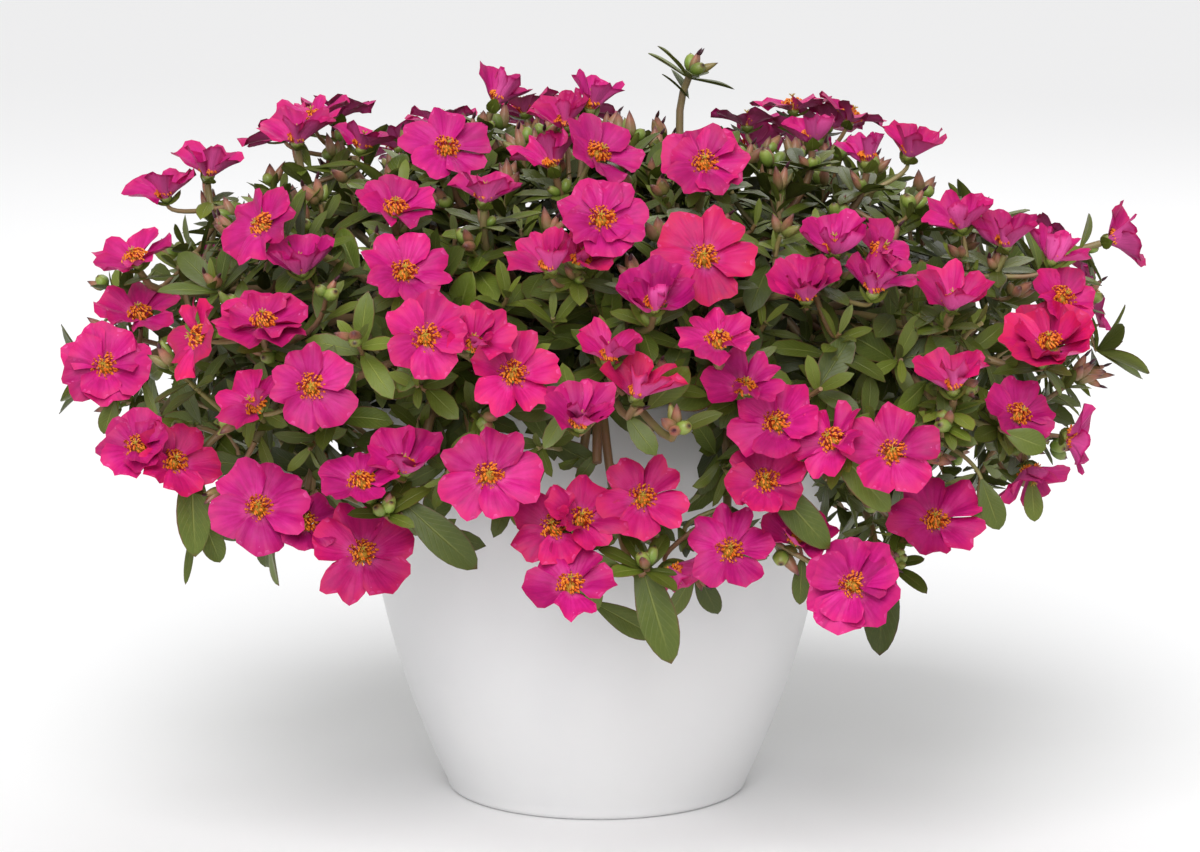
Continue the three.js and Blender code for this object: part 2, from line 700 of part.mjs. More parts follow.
function twigCurve(start, bloom) {
  return new THREE.QuadraticBezierCurve3(
    start,
    bloom.point.clone().addScaledVector(bloom.axis, -coneDepth(bloom.open) - twig.straight),
    underFloor(bloom),
  );
}

function headOf(truss) {
  return { end: underFloor(truss[0]), axis: truss[0].axis, mates: truss.slice(1), collar: 2, buds: 1 };
}

function bareHead([across, height, turn, tilt, sink]) {
  const place = sightedPlace(across, height, turn, tilt, sightDistance(across, height) + sink);
  return { end: place.point, axis: place.axis, mates: [], collar: 4, buds: 3 };
}

// The rosettes, with the place of the wood that each one's twig starts from.
function spursOn(stems) {
  const spurs = [];
  for (let number = 0; number < spur.tries; number++) {
    const latitude = THREE.MathUtils.radToDeg(Math.asin(1 - (2 * (number + 0.5)) / spur.tries));
    const surface = pointTowards(number * goldenAngle, latitude);
    const out = outward(surface);
    const depth = lerp(spur.depth, spur.topDepth, Math.max(out.z, 0) ** 2);
    const place = surface.clone().addScaledVector(out, -depth);
    const axis = out.clone().addScaledVector(up, spur.rise).normalize();
    const under = place.clone().addScaledVector(axis, -spur.under);
    const stem = nearestStem(stems, place);
    const start = stem.woodPlaces.toSorted((a, b) => a.distanceTo(under) - b.distanceTo(under))[0];
    if (surface.z < spur.lowest || start.distanceTo(place) > spur.longestTwig) continue;
    const wood = stemSolid(new THREE.LineCurve3(start, place), twig.radius, twig.sides, 1);
    spurs.push({ stem, solid: rosetteSolid(place, axis, spur.firstIndex + number).add(wood) });
  }
  return spurs;
}

function nearestStem(stems, point) {
  const gap = (stem) => {
    const turn = Math.atan2(point.y, point.x) - stem.angle;
    return Math.abs(Math.atan2(Math.sin(turn), Math.cos(turn)));
  };
  return stems.reduce((best, stem) => (gap(stem) < gap(best) ? stem : best));
}

function growStems(trusses, fixed) {
  const stems = stemAzimuths.map((azimuth) => {
    const curve = mainCurve(azimuth);
    const end = curve.getPointAt(1);
    const wood = [stemSolid(curve, mainStem.radius, mainStem.sides, mainStem.steps)];
    const joints = curve.getSpacedPoints(mainStem.steps);
    const edge = Math.hypot(end.x, end.y) / mainStem.fall.at(-1)[0];
    const woodPlaces = [];
    return { angle: radians(azimuth), joints, edge, wood, woodPlaces, leaves: [], lowLeaves: [], buds: [] };
  });
  const heads = [...trusses.map(headOf), ...bareHeads.map(bareHead)];
  heads.forEach((head, number) => {
    const stem = nearestStem(stems, head.end);
    const curve = shootCurve(stem, head);
    const length = curve.getLength();
    const steps = Math.max(2, Math.round(length / shoot.stepLength));
    const joints = curve.getSpacedPoints(steps);
    stem.wood.push(stemSolid(curve, shoot.radius, shoot.sides, steps));
    for (let back = spur.woodSpacing; back < length; back += spur.woodSpacing) {
      stem.woodPlaces.push(placeOnShoot(joints, back).point);
    }
    head.mates.forEach((bloom, i) => {
      const start = placeOnShoot(joints, twig.first + twig.spacing * i).point;
      stem.wood.push(stemSolid(twigCurve(start, bloom), twig.radius, twig.sides, twig.steps));
    });
    const low = lowLeaves.filter(([headNumber]) => headNumber === number + 1);
    stem.lowLeaves.push(...low.map(([, across, height]) => lowLeaf(joints, across, height)));
    stem.leaves.push(...collarLeaves(head, joints, number), ...leavesAlong(joints, length, number));
    stem.buds.push(...budsOn(head, joints, number));
  });
  stems.forEach((stem, i) => {
    const length = mainStem.leafShare * mainStem.steps * stem.joints[1].distanceTo(stem.joints[0]);
    stem.leaves.push(...leavesAlong(stem.joints, length, heads.length + i));
    stem.solid = join(stem.wood);
    stem.pieces = [...stem.lowLeaves.map(leafSolid), ...stem.buds, ...stem.leaves.map(leafSolid)];
  });
  // Leaves are set in turn, one on each stem at a time.
  const turns = Math.max(...stems.map((stem) => stem.pieces.length));
  for (let i = 0; i < turns; i++) {
    for (const stem of stems) {
      const others = stems.filter((other) => other !== stem).map((other) => other.solid);
      const most = i < stem.lowLeaves.length ? rootFaces.low : rootFaces.other;
      if (stem.pieces[i]) stem.solid = withPiece(stem.solid, stem.pieces[i], [...fixed, ...others], most);
    }
  }
  for (const { stem, solid } of spursOn(stems)) {
    const others = stems.filter((other) => other !== stem).map((other) => other.solid);
    stem.solid = withPiece(stem.solid, solid, [...fixed, ...others], rootFaces.spur);
  }
  return stems.map((stem) => stem.solid);
}

// A stem with one more piece, where that is clear of the other solids and meets its stem only at its root.
function withPiece(stem, piece, others, most) {
  if (others.some((other) => piece.minGap(other, clearance) < clearance)) return stem;
  const grown = stem.add(piece);
  const rooted = grown.volume() < stem.volume() + piece.volume() - leastRoot;
  const crossings = grown.numTri() - stem.numTri() - piece.numTri();
  return rooted && crossings <= most ? grown : stem;
}

// ---------------------------------------------------------------- the whole, one mesh a node

const materials = {
  pot: new THREE.MeshStandardMaterial({ color: 0xe9e9ea, roughness: 0.35, metalness: 0 }),
  soil: new THREE.MeshStandardMaterial({ color: 0x3a2a1e, roughness: 0.95, metalness: 0 }),
  leaf: new THREE.MeshStandardMaterial({ color: 0x5a6b2c, roughness: 0.5, metalness: 0 }),
  bloom: new THREE.MeshStandardMaterial({ color: 0xdc1c86, roughness: 0.5, metalness: 0 }),
};

const group = new THREE.Group();

function addNode(name, solid, material) {
  const mesh = new THREE.Mesh(geometryOf(solid), material);
  mesh.name = name;
  group.add(mesh);
}

const numbered = (name, index) => `${name}_${String(index + 1).padStart(2, "0")}`;

const potSolid = makePot();
const soilSolid = makeSoil();
const trusses = [...makeFrontTrusses(), ...makeBackTrusses()];
const bloomSolids = trusses.map((truss) => join(truss.map(bloomSolid)));
const stemSolids = growStems(trusses, [potSolid, soilSolid, ...bloomSolids]);

addNode("pot", potSolid, materials.pot);
addNode("soil", soilSolid, materials.soil);
stemSolids.forEach((solid, i) => addNode(numbered("leafy_stem", i), solid, materials.leaf));
bloomSolids.forEach((solid, i) => addNode(numbered("blooms", i), solid, materials.bloom));

export default group;
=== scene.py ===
import math

import bpy
import numpy as np
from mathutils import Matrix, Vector


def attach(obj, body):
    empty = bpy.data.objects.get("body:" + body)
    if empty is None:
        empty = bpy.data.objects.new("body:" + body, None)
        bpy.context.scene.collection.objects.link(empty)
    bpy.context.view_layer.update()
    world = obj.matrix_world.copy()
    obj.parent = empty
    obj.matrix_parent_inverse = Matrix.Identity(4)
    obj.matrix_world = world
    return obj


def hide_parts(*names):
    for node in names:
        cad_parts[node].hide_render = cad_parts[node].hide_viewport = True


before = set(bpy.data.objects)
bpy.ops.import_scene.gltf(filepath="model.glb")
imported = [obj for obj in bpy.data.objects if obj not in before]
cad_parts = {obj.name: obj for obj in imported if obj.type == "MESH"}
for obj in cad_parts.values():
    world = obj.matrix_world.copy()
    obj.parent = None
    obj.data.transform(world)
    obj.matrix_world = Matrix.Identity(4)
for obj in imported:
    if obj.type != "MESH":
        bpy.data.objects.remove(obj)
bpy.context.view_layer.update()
print("frame loaded:", len(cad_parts), "nodes")

# every place is worked out in millimetres and scaled once, when a mesh is made
up = np.array([0.0, 0.0, 1.0])
right = np.array([1.0, 0.0, 0.0])
eye = np.array([0.0, -1970.0, 523.0])
goldenTurn = 2.39996
goldenDegrees = 137.5


def unit(vectors):
    return vectors / np.maximum(np.linalg.norm(vectors, axis=-1, keepdims=True), 1e-9)


def mix(low, high, share):
    return low + (high - low) * share


def smoothStep(share):
    share = np.clip(share, 0.0, 1.0)
    return share * share * (3.0 - 2.0 * share)


def draw(index, kind):
    # the same number between 0 and 1 each time for one index and one kind of draw
    value = np.sin(index * 12.9898 + kind * 78.233) * 43758.5453
    return value - np.floor(value)


def turned(vector, axis, angle):
    return (
        vector * math.cos(angle)
        + np.cross(axis, vector) * math.sin(angle)
        + axis * np.dot(axis, vector) * (1.0 - math.cos(angle))
    )


def uprightFrames(axes):
    # side and other: two unit vectors square to each axis, with side level
    side = np.cross(up, axes)
    short = np.linalg.norm(side, axis=-1) < 0.05
    side = unit(np.where(short[..., None], right, side))
    return side, np.cross(axes, side)


def awayFrom(axis, turn):
    # the direction square to the axis, this far round it
    side, other = uprightFrames(axis)
    return side * math.cos(turn) + other * math.sin(turn)


def valuesOf(items, key):
    return np.array([item[key] for item in items])


def circleRound(side, other, angle):
    # for each pair of side and other, the points of the unit circle that they span
    return side[:, None] * np.cos(angle)[None, :, None] + other[:, None] * np.sin(angle)[None, :, None]


def ringFaces(rings, sides):
    # the faces of rings of points in a row, closed by a pole at each end: quads, then triangles
    index = np.arange(rings * sides).reshape(rings, sides)
    following = np.roll(index, -1, axis=1)
    quads = np.stack([index[:-1], following[:-1], following[1:], index[1:]], -1).reshape(-1, 4)
    first = np.stack([following[0], index[0], np.full(sides, index.size)], -1)
    last = np.stack([index[-1], following[-1], np.full(sides, index.size + 1)], -1)
    return [quads, np.concatenate([first, last])]


def shellGrid(across, along):
    # a closed thin shell: an upper and a lower grid that share their border; u runs -1..1, v runs 0..1,
    # and side is 1 on the upper face, -1 on the lower face and 0 on the border
    iu, iv = np.meshgrid(np.arange(across + 1), np.arange(along + 1), indexing="ij")
    inner = (iu > 0) & (iu < across) & (iv > 0) & (iv < along)
    upper = np.arange(iu.size).reshape(iu.shape)
    lower = upper.copy()
    lower[inner] = iu.size + np.arange(inner.sum())
    u = np.concatenate([iu.ravel(), iu[inner]]) * 2.0 / across - 1.0
    v = np.concatenate([iv.ravel(), iv[inner]]) / along
    side = np.concatenate([np.where(inner, 1.0, 0.0).ravel(), -np.ones(inner.sum())])
    corners = lambda grid: [grid[:-1, :-1], grid[1:, :-1], grid[1:, 1:], grid[:-1, 1:]]
    top = np.stack(corners(upper), -1).reshape(-1, 4)
    bottom = np.stack(corners(lower)[::-1], -1).reshape(-1, 4)
    return u, v, side, np.concatenate([top, bottom])


def roundGrid(around, along):
    # a closed surface of revolution: rings of points between two poles; turn runs 0..1 and v runs 0..1
    rings = np.arange(1, along)
    turn = np.tile(np.arange(around) / around, len(rings))
    v = np.repeat(rings / along, around)
    turn = np.concatenate([turn, [0.0, 0.0]])
    v = np.concatenate([v, [0.0, 1.0]])
    return turn, v, ringFaces(len(rings), around)


def tiled(faces, count, size):
    return (faces[None] + (np.arange(count) * size)[:, None, None]).reshape(-1, faces.shape[1])


# what a material reads at each point, and its value where a shape doesn't give it
plainMarks = {"tone": 0.5, "warmth": 0.0, "depth": 0.0, "back": 0.0}


def block(points, faces, uv, material, **marks):
    # one batch of shapes: points (N, 3), and faces as a list of index arrays
    marks = {
        name: np.broadcast_to(np.asarray(marks.get(name, plain), float), (len(points),))
        for name, plain in plainMarks.items()
    }
    return {"points": points, "faces": faces, "uv": uv, "material": material, "marks": marks}


def copiesBlock(points, faces, uv, material, side=None, **marks):
    # a batch of alike shapes: faces, uv and side are one copy's, and a mark has one value for each copy
    size = len(uv)
    count = len(points) // size
    marks = {name: np.repeat(np.broadcast_to(value, (count,)), size) for name, value in marks.items()}
    if side is not None:
        marks["back"] = np.tile(np.where(side < 0, 1.0, 0.0), count)
    faces = [tiled(kind, count, size) for kind in faces]
    return block(points, faces, np.tile(uv, (count, 1)), material, **marks)


def inFrames(origins, directions, places):
    # the points of all shapes: each shape's places along its own three directions, from its own origin
    points = origins[:, None]
    for direction, place in zip(directions, places):
        points = points + place[..., None] * direction[:, None]
    return points.reshape(-1, 3)


faceCounts = []


def makePiece(name, blocks, materials, nodes):
    # joins blocks into one mesh at the origin, in metres, and puts it in place of the CAD nodes
    mesh = bpy.data.meshes.new(name)
    starts = np.cumsum([0] + [len(b["points"]) for b in blocks])
    points = np.concatenate([b["points"] for b in blocks]) * 0.001
    loops, totals, slots = [], [], []
    for b, start in zip(blocks, starts):
        for faces in b["faces"]:
            loops.append((faces + start).ravel())
            totals.append(np.full(len(faces), faces.shape[1]))
            slots.append(np.full(len(faces), materials.index(b["material"])))
    loops, totals, slots = np.concatenate(loops), np.concatenate(totals), np.concatenate(slots)
    mesh.vertices.add(len(points))
    mesh.vertices.foreach_set("co", points.astype(np.float32).ravel())
    mesh.loops.add(len(loops))
    mesh.loops.foreach_set("vertex_index", loops.astype(np.int32))
    mesh.polygons.add(len(totals))
    mesh.polygons.foreach_set("loop_start", np.concatenate([[0], np.cumsum(totals)[:-1]]).astype(np.int32))
    mesh.polygons.foreach_set("material_index", slots.astype(np.int32))
    mesh.update(calc_edges=True)
    mesh.polygons.foreach_set("use_smooth", np.ones(len(totals), bool))
    uv = np.concatenate([b["uv"] for b in blocks])
    layer = mesh.uv_layers.new(name="surfaceMap")
    layer.data.foreach_set("uv", uv[loops].astype(np.float32).ravel())
    for mark in plainMarks:
        values = np.concatenate([b["marks"][mark] for b in blocks])
        attribute = mesh.attributes.new(mark, "FLOAT", "POINT")
        attribute.data.foreach_set("value", values.astype(np.float32))
    for material in materials:
        mesh.materials.append(material)
    mesh.validate()
    mesh.set_sharp_from_angle(angle=math.radians(80.0))  # the thin rims of petals and leaves
    faceCounts.append(int(np.sum(totals - 2)))
    piece = bpy.data.objects.new(name, mesh)
    bpy.context.scene.collection.objects.link(piece)
    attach(piece, "root")
    if nodes:
        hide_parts(*nodes)
    return piece


def tubeBlock(path, radii, sides, material, **marks):
    # a round stem: rings of radius radii square to the path, closed by a pole at each end
    path = np.asarray(path, float)
    radii = np.broadcast_to(np.asarray(radii, float), (len(path),))
    tangent = unit(np.gradient(path, axis=0))
    chord = unit(path[-1] - path[0])
    helper = right if abs(chord[0]) < 0.7 else up
    side = unit(np.cross(tangent, np.cross(chord, helper) + 1e-6))
    other = np.cross(tangent, side)
    angle = 2.0 * math.pi * np.arange(sides) / sides
    points = (path[:, None] + circleRound(side, other, angle) * radii[:, None, None]).reshape(-1, 3)
    points = np.concatenate([points, path[:1], path[-1:]])
    lengthways = np.linspace(0.0, 1.0, len(path))
    uv = np.stack([np.tile(np.arange(sides) / sides, len(path)), np.repeat(lengthways, sides)], -1)
    uv = np.concatenate([uv, [[0.5, 0.0], [0.5, 1.0]]])
    return block(points, ringFaces(len(path), sides), uv, material, **marks)


def addNode(material, kind, **settings):
    node = material.node_tree.nodes.new(kind)
    for name, value in settings.items():
        setattr(node, name, value)
    return node


def newSurface(name, roughness, specular=0.5):
    material = bpy.data.materials.new(name)
    material.use_nodes = True
    shader = material.node_tree.nodes["Principled BSDF"]
    shader.inputs["Roughness"].default_value = roughness
    shader.inputs["Specular IOR Level"].default_value = specular
    return material, shader


def markValue(material, name):
    return addNode(material, "ShaderNodeAttribute", attribute_name=name).outputs["Fac"]


def surfaceMap(material):
    mapNode = addNode(material, "ShaderNodeUVMap", uv_map="surfaceMap")
    parts = addNode(material, "ShaderNodeSeparateXYZ")
    material.node_tree.links.new(mapNode.outputs["UV"], parts.inputs[0])
    return parts.outputs["X"], parts.outputs["Y"]


def fillSockets(links, sockets, values):
    # a number or a colour is set on its socket, and another node's output is linked to it
    for socket, value in zip(sockets, values):
        if isinstance(value, (int, float)):
            socket.default_value = value
        elif isinstance(value, tuple):
            socket.default_value = (*value, 1.0)
        else:
            links.new(value, socket)


def mathNode(material, operation, *values, clamp=False):
    node = addNode(material, "ShaderNodeMath", operation=operation, use_clamp=clamp)
    fillSockets(material.node_tree.links, node.inputs, values)
    return node.outputs[0]


def times(material, first, second, clamp=False):
    return mathNode(material, "MULTIPLY", first, second, clamp=clamp)


def plus(material, first, second):
    return mathNode(material, "ADD", first, second)


def minus(material, first, second):
    return mathNode(material, "SUBTRACT", first, second)


def markTimes(material, name, factor):
    return times(material, markValue(material, name), factor)


def blendColours(material, share, first, second):
    node = addNode(material, "ShaderNodeMix", data_type="RGBA")
    sockets = (node.inputs[0], node.inputs[6], node.inputs[7])
    fillSockets(material.node_tree.links, sockets, (share, first, second))
    return node.outputs[2]


def ramp(material, value, stops):
    node = addNode(material, "ShaderNodeValToRGB")
    elements = node.color_ramp.elements
    while len(elements) < len(stops):
        elements.new(0.5)
    for element, (position, colour) in zip(elements, stops):
        element.position = position
        element.color = (*colour, 1.0)
    material.node_tree.links.new(value, node.inputs[0])
    return node.outputs["Color"]


def newGroup(name, inputs, outputs):
    # inputs and outputs: the kind of each socket by its name
    group = bpy.data.node_groups.new(name, "ShaderNodeTree")
    for sockets, way in ((inputs, "INPUT"), (outputs, "OUTPUT")):
        for socket, kind in sockets.items():
            group.interface.new_socket(name=socket, in_out=way, socket_type="NodeSocket" + kind)
    return group, group.nodes.new("NodeGroupInput"), group.nodes.new("NodeGroupOutput")


def makeMottleGroup():
    # uneven growth: one soft and one fine noise over a vector, as a mask round 0.5
    group, entry, leaving = newGroup(
        "mottle", {"Vector": "Vector", "Scale": "Float", "Fine Share": "Float"}, {"Mask": "Float"})
    nodes, links = group.nodes, group.links
    soft, fine = nodes.new("ShaderNodeTexNoise"), nodes.new("ShaderNodeTexNoise")
    finer = nodes.new("ShaderNodeMath")
    finer.operation = "MULTIPLY"
    finer.inputs[1].default_value = 5.0
    join = nodes.new("ShaderNodeMix")
    links.new(entry.outputs["Vector"], soft.inputs["Vector"])
    links.new(entry.outputs["Vector"], fine.inputs["Vector"])
    links.new(entry.outputs["Scale"], soft.inputs["Scale"])
    links.new(entry.outputs["Scale"], finer.inputs[0])
    links.new(finer.outputs[0], fine.inputs["Scale"])
    links.new(entry.outputs["Fine Share"], join.inputs[0])
    links.new(soft.outputs["Fac"], join.inputs[2])
    links.new(fine.outputs["Fac"], join.inputs[3])
    links.new(join.outputs[0], leaving.inputs["Mask"])
    return group


def makeTonePaintedShadeGroup():
    # each leaf, petal or stem a little lighter or darker by its tone, with painted shade that darkens it with
    # depth in the plant
    group, entry, leaving = newGroup(
        "toneAndPaintedShade", {"Color": "Color", "Tone": "Float", "Spread": "Float", "Depth": "Float"},
        {"Color": "Color"})
    nodes, links = group.nodes, group.links

    def maths(operation, *values):
        node = nodes.new("ShaderNodeMath")
        node.operation = operation
        fillSockets(links, node.inputs, values)
        return node.outputs[0]

    centred = maths("SUBTRACT", entry.outputs["Tone"], 0.5)
    lighter = maths("ADD", maths("MULTIPLY", centred, entry.outputs["Spread"]), 1.0)
    # painted shade: darker the deeper the point lies in the plant
    shaded = maths("SUBTRACT", 1.0, maths("MULTIPLY", entry.outputs["Depth"], 0.75))
    shade = nodes.new("ShaderNodeHueSaturation")
    links.new(maths("MULTIPLY", lighter, shaded), shade.inputs["Value"])
    links.new(entry.outputs["Color"], shade.inputs["Color"])
    links.new(shade.outputs["Color"], leaving.inputs["Color"])
    return group


mottleGroup = makeMottleGroup()
tonePaintedShadeGroup = makeTonePaintedShadeGroup()


def mottle(material, vector, scale, fineShare):
    node = addNode(material, "ShaderNodeGroup", node_tree=mottleGroup)
    fillSockets(material.node_tree.links, node.inputs, (vector, scale, fineShare))
    return node.outputs["Mask"]


def toneAndPaintedShade(material, colour, spread):
    node = addNode(material, "ShaderNodeGroup", node_tree=tonePaintedShadeGroup)
    values = (colour, markValue(material, "tone"), spread, markValue(material, "depth"))
    fillSockets(material.node_tree.links, node.inputs, values)
    return node.outputs["Color"]


def finishColour(material, shader, colour, look):
    shaded = toneAndPaintedShade(material, colour, look["toneSpread"])
    material.node_tree.links.new(shaded, shader.inputs["Base Color"])


def addBump(material, shader, height, strength, distance):
    bump = addNode(material, "ShaderNodeBump")
    bump.inputs["Strength"].default_value = strength
    bump.inputs["Distance"].default_value = distance
    material.node_tree.links.new(height, bump.inputs["Height"])
    material.node_tree.links.new(bump.outputs["Normal"], shader.inputs["Normal"])


def objectCoordinates(material):
    return addNode(material, "ShaderNodeTexCoord").outputs["Object"]


def smoothMask(material, value, low, high):
    node = addNode(material, "ShaderNodeMapRange", interpolation_type="SMOOTHSTEP")
    material.node_tree.links.new(value, node.inputs["Value"])
    node.inputs["From Min"].default_value = low
    node.inputs["From Max"].default_value = high
    return node.outputs["Result"]


petalLook = {
    "roughness": 0.55,
    "specular": 0.28,
    "heart": (0.46, 0.30, 0.02),  # greenish yellow where the petals meet
    "foot": (0.62, 0.070, 0.280),
    "body": (0.46, 0.004, 0.172),
    # lit and shaded: painted highlight and painted shade, laid along the streaks
    "lit": (0.62, 0.024, 0.285),
    "shaded": (0.28, 0.003, 0.090),
    "rim": (0.54, 0.007, 0.095),
    "back": (0.74, 0.110, 0.380),
    "scarlet": (0.60, 0.007, 0.062),
    "streaks": (13.0, 1.6, 40.0),  # their scale across a petal, along it, and from petal to petal
    "clouds": 75.0,
    "rimRed": 0.36,  # how red the rim is on a bloom that isn't warm
    "toneSpread": 0.42,
}


def makePetalMaterial():
    material, shader = newSurface("petalSilk", petalLook["roughness"], petalLook["specular"])
    across, along = surfaceMap(material)
    warmth, back = markValue(material, "warmth"), markValue(material, "back")
    # streaks run from the heart to the edge: noise stretched along the petal, and different on each petal
    links = material.node_tree.links
    directions = zip((across, along, markValue(material, "tone")), petalLook["streaks"])
    streakPlace = addNode(material, "ShaderNodeCombineXYZ")
    fillSockets(links, streakPlace.inputs, [times(material, value, scale) for value, scale in directions])
    streaks = addNode(material, "ShaderNodeTexNoise")
    streaks.inputs["Scale"].default_value = 1.0
    streaks.inputs["Detail"].default_value = 3.0
    links.new(streakPlace.outputs[0], streaks.inputs["Vector"])
    clouds = mottle(material, objectCoordinates(material), petalLook["clouds"], 0.3)
    shade = plus(material, times(material, streaks.outputs["Fac"], 0.5), times(material, clouds, 0.5))
    colour = ramp(material, along, [
        (0.0, petalLook["heart"]), (0.09, petalLook["heart"]), (0.2, petalLook["foot"]),
        (0.42, petalLook["body"]),
    ])
    # painted highlight: the lit colour where the streak and cloud noise is high
    light = times(material, minus(material, shade, 0.47), 3.2, clamp=True)
    light = times(material, light, smoothMask(material, along, 0.12, 0.4))
    colour = blendColours(material, light, colour, petalLook["lit"])
    # the rim reddens unevenly, and more on a warm bloom
    rim = smoothMask(material, plus(material, along, times(material, shade, 0.8)), 1.05, 1.4)
    rim = times(material, rim, plus(material, warmth, petalLook["rimRed"]), clamp=True)
    colour = blendColours(material, rim, colour, petalLook["rim"])
    warm = times(material, warmth, smoothMask(material, along, 0.15, 0.5))
    colour = blendColours(material, warm, colour, petalLook["scarlet"])
    # the outer side is paler, most of all at the foot, and the painted shade along its streaks is weaker
    pale = times(material, back, minus(material, 0.95, times(material, along, 0.4)))
    colour = blendColours(material, pale, colour, petalLook["back"])
    dark = times(material, minus(material, 0.50, shade), 3.0, clamp=True)
    dark = times(material, dark, minus(material, 1.0, times(material, back, 0.6)))
    colour = blendColours(material, dark, colour, petalLook["shaded"])
    finishColour(material, shader, colour, petalLook)
    addBump(material, shader, shade, 0.5, 0.0018)
    return material


leafLook = {
    "roughness": 0.42,
    "specular": 0.35,
    "top": (0.070, 0.100, 0.010),
    "young": (0.150, 0.180, 0.022),
    "under": (0.135, 0.160, 0.034),
    "rib": (0.190, 0.220, 0.045),
    "margin": (0.130, 0.040, 0.022),
    "veins": 70.0,  # how close the side veins are
    "slant": 0.55,
    "toneSpread": 0.9,
}


def makeLeafMaterial():
    material, shader = newSurface("leafFlesh", leafLook["roughness"], leafLook["specular"])
    across, along = surfaceMap(material)
    place = objectCoordinates(material)
    fromRib = mathNode(material, "ABSOLUTE", minus(material, across, 0.5))
    patches = mottle(material, place, 120.0, 0.4)
    colour = blendColours(material, markTimes(material, "warmth", 0.8), leafLook["top"], leafLook["young"])
    colour = blendColours(material, markTimes(material, "back", 0.85), colour, leafLook["under"])
    lighter = times(material, minus(material, patches, 0.45), 1.2, clamp=True)
    colour = blendColours(material, lighter, colour, leafLook["young"])
    # side veins slant up and out from the rib
    slant = minus(material, along, times(material, fromRib, leafLook["slant"]))
    wave = mathNode(material, "SINE", times(material, slant, leafLook["veins"]))
    veins = smoothMask(material, wave, 0.75, 1.0)
    colour = blendColours(material, times(material, veins, 0.16), colour, leafLook["rib"])
    # the rib fades towards the tip
    ribFade = minus(material, 1.0, smoothMask(material, along, 0.55, 1.0))
    rib = minus(material, 1.0, smoothMask(material, fromRib, 0.012, 0.045))
    rib = times(material, rib, times(material, ribFade, 0.75))
    colour = blendColours(material, rib, colour, leafLook["rib"])
    # the margin is red in places
    sides, tip = smoothMask(material, fromRib, 0.44, 0.5), smoothMask(material, along, 0.95, 1.0)
    blotches = smoothMask(material, mottle(material, place, 45.0, 0.2), 0.35, 0.6)
    edge = times(material, mathNode(material, "MAXIMUM", sides, tip), blotches)
    colour = blendColours(material, times(material, edge, 0.9), colour, leafLook["margin"])
    finishColour(material, shader, colour, leafLook)
    height = minus(material, times(material, patches, 0.5), plus(material, times(material, veins, 0.12), rib))
    addBump(material, shader, height, 0.5, 0.0008)
    return material


stemLook = {
    "roughness": 0.45,
    "green": (0.270, 0.275, 0.085),
    "tan": (0.370, 0.270, 0.135),
    "red": (0.230, 0.070, 0.040),
    "toneSpread": 0.4,
}


def makeStemMaterial():
    # green and tan by a noise, and redder on some stems
    material, shader = newSurface("stemSkin", stemLook["roughness"])
    place = objectCoordinates(material)
    patches = smoothMask(material, mottle(material, place, 60.0, 0.3), 0.4, 0.62)
    colour = blendColours(material, patches, stemLook["green"], stemLook["tan"])
    colour = blendColours(material, markTimes(material, "warmth", 0.7), colour, stemLook["red"])
    finishColour(material, shader, colour, stemLook)
    addBump(material, shader, mottle(material, place, 400.0, 0.5), 0.3, 0.0005)
    return material


budLook = {
    "roughness": 0.40,
    "base": (0.120, 0.150, 0.030),
    "middle": (0.250, 0.170, 0.070),
    "pink": (0.330, 0.130, 0.080),
    "tip": (0.060, 0.010, 0.025),
    "capsule": (0.18, 0.27, 0.040),
    "capsuleTop": (0.25, 0.30, 0.06),
    "scar": (0.16, 0.10, 0.03),  # round the capsule's dark tip
    "scarTip": (0.02, 0.012, 0.008),
    "shaded": (0.09, 0.07, 0.02),
    "toneSpread": 0.4,
}


def makeBudMaterial():
    # where warmth is high a bud, green at the foot, tan and pink above and dark at the tip; else a capsule
    material, shader = newSurface("budSkin", budLook["roughness"])
    across, along = surfaceMap(material)
    patches = mottle(material, objectCoordinates(material), 150.0, 0.4)
    ripe = ramp(material, along, [
        (0.0, budLook["base"]), (0.35, budLook["middle"]), (0.7, budLook["pink"]), (1.0, budLook["tip"]),
    ])
    green = ramp(material, along, [
        (0.0, budLook["base"]), (0.5, budLook["capsule"]), (0.86, budLook["capsuleTop"]),
        (0.93, budLook["scar"]), (0.97, budLook["scarTip"]),
    ])
    colour = blendColours(material, markValue(material, "warmth"), green, ripe)
    dark = times(material, minus(material, 0.5, patches), 1.5, clamp=True)
    colour = blendColours(material, dark, colour, budLook["shaded"])
    finishColour(material, shader, colour, budLook)
    stripes = mathNode(material, "SINE", times(material, across, 44.0))
    addBump(material, shader, plus(material, patches, times(material, stripes, 0.12)), 0.35, 0.0006)
    return material


stamenLook = {
    "roughness": 0.6,
    # from a dark red filament at tone 0 over orange anthers to the pale style at tone 1
    "tones": [
        (0.0, (0.36, 0.008, 0.010)), (0.25, (0.62, 0.05, 0.006)), (0.42, (0.82, 0.18, 0.008)),
        (0.7, (0.86, 0.29, 0.012)), (0.9, (0.50, 0.30, 0.02)), (1.0, (0.46, 0.36, 0.04)),
    ],
    "shaded": (0.38, 0.06, 0.005),
}


def makeStamenMaterial():
    # the colour follows the tone, with painted shade where a fine noise is low, as between grains of pollen
    material, shader = newSurface("stamenDust", stamenLook["roughness"])
    grains = mottle(material, objectCoordinates(material), 900.0, 0.4)
    colour = ramp(material, markValue(material, "tone"), stamenLook["tones"])
    dark = times(material, minus(material, 0.52, grains), 2.0, clamp=True)
    colour = blendColours(material, dark, colour, stamenLook["shaded"])
    material.node_tree.links.new(colour, shader.inputs["Base Color"])
    addBump(material, shader, grains, 0.5, 0.0004)
    return material


potLook = {
    "roughness": 0.36,
    "cool": (0.765, 0.768, 0.775),
    "plain": (0.80, 0.80, 0.80),
}


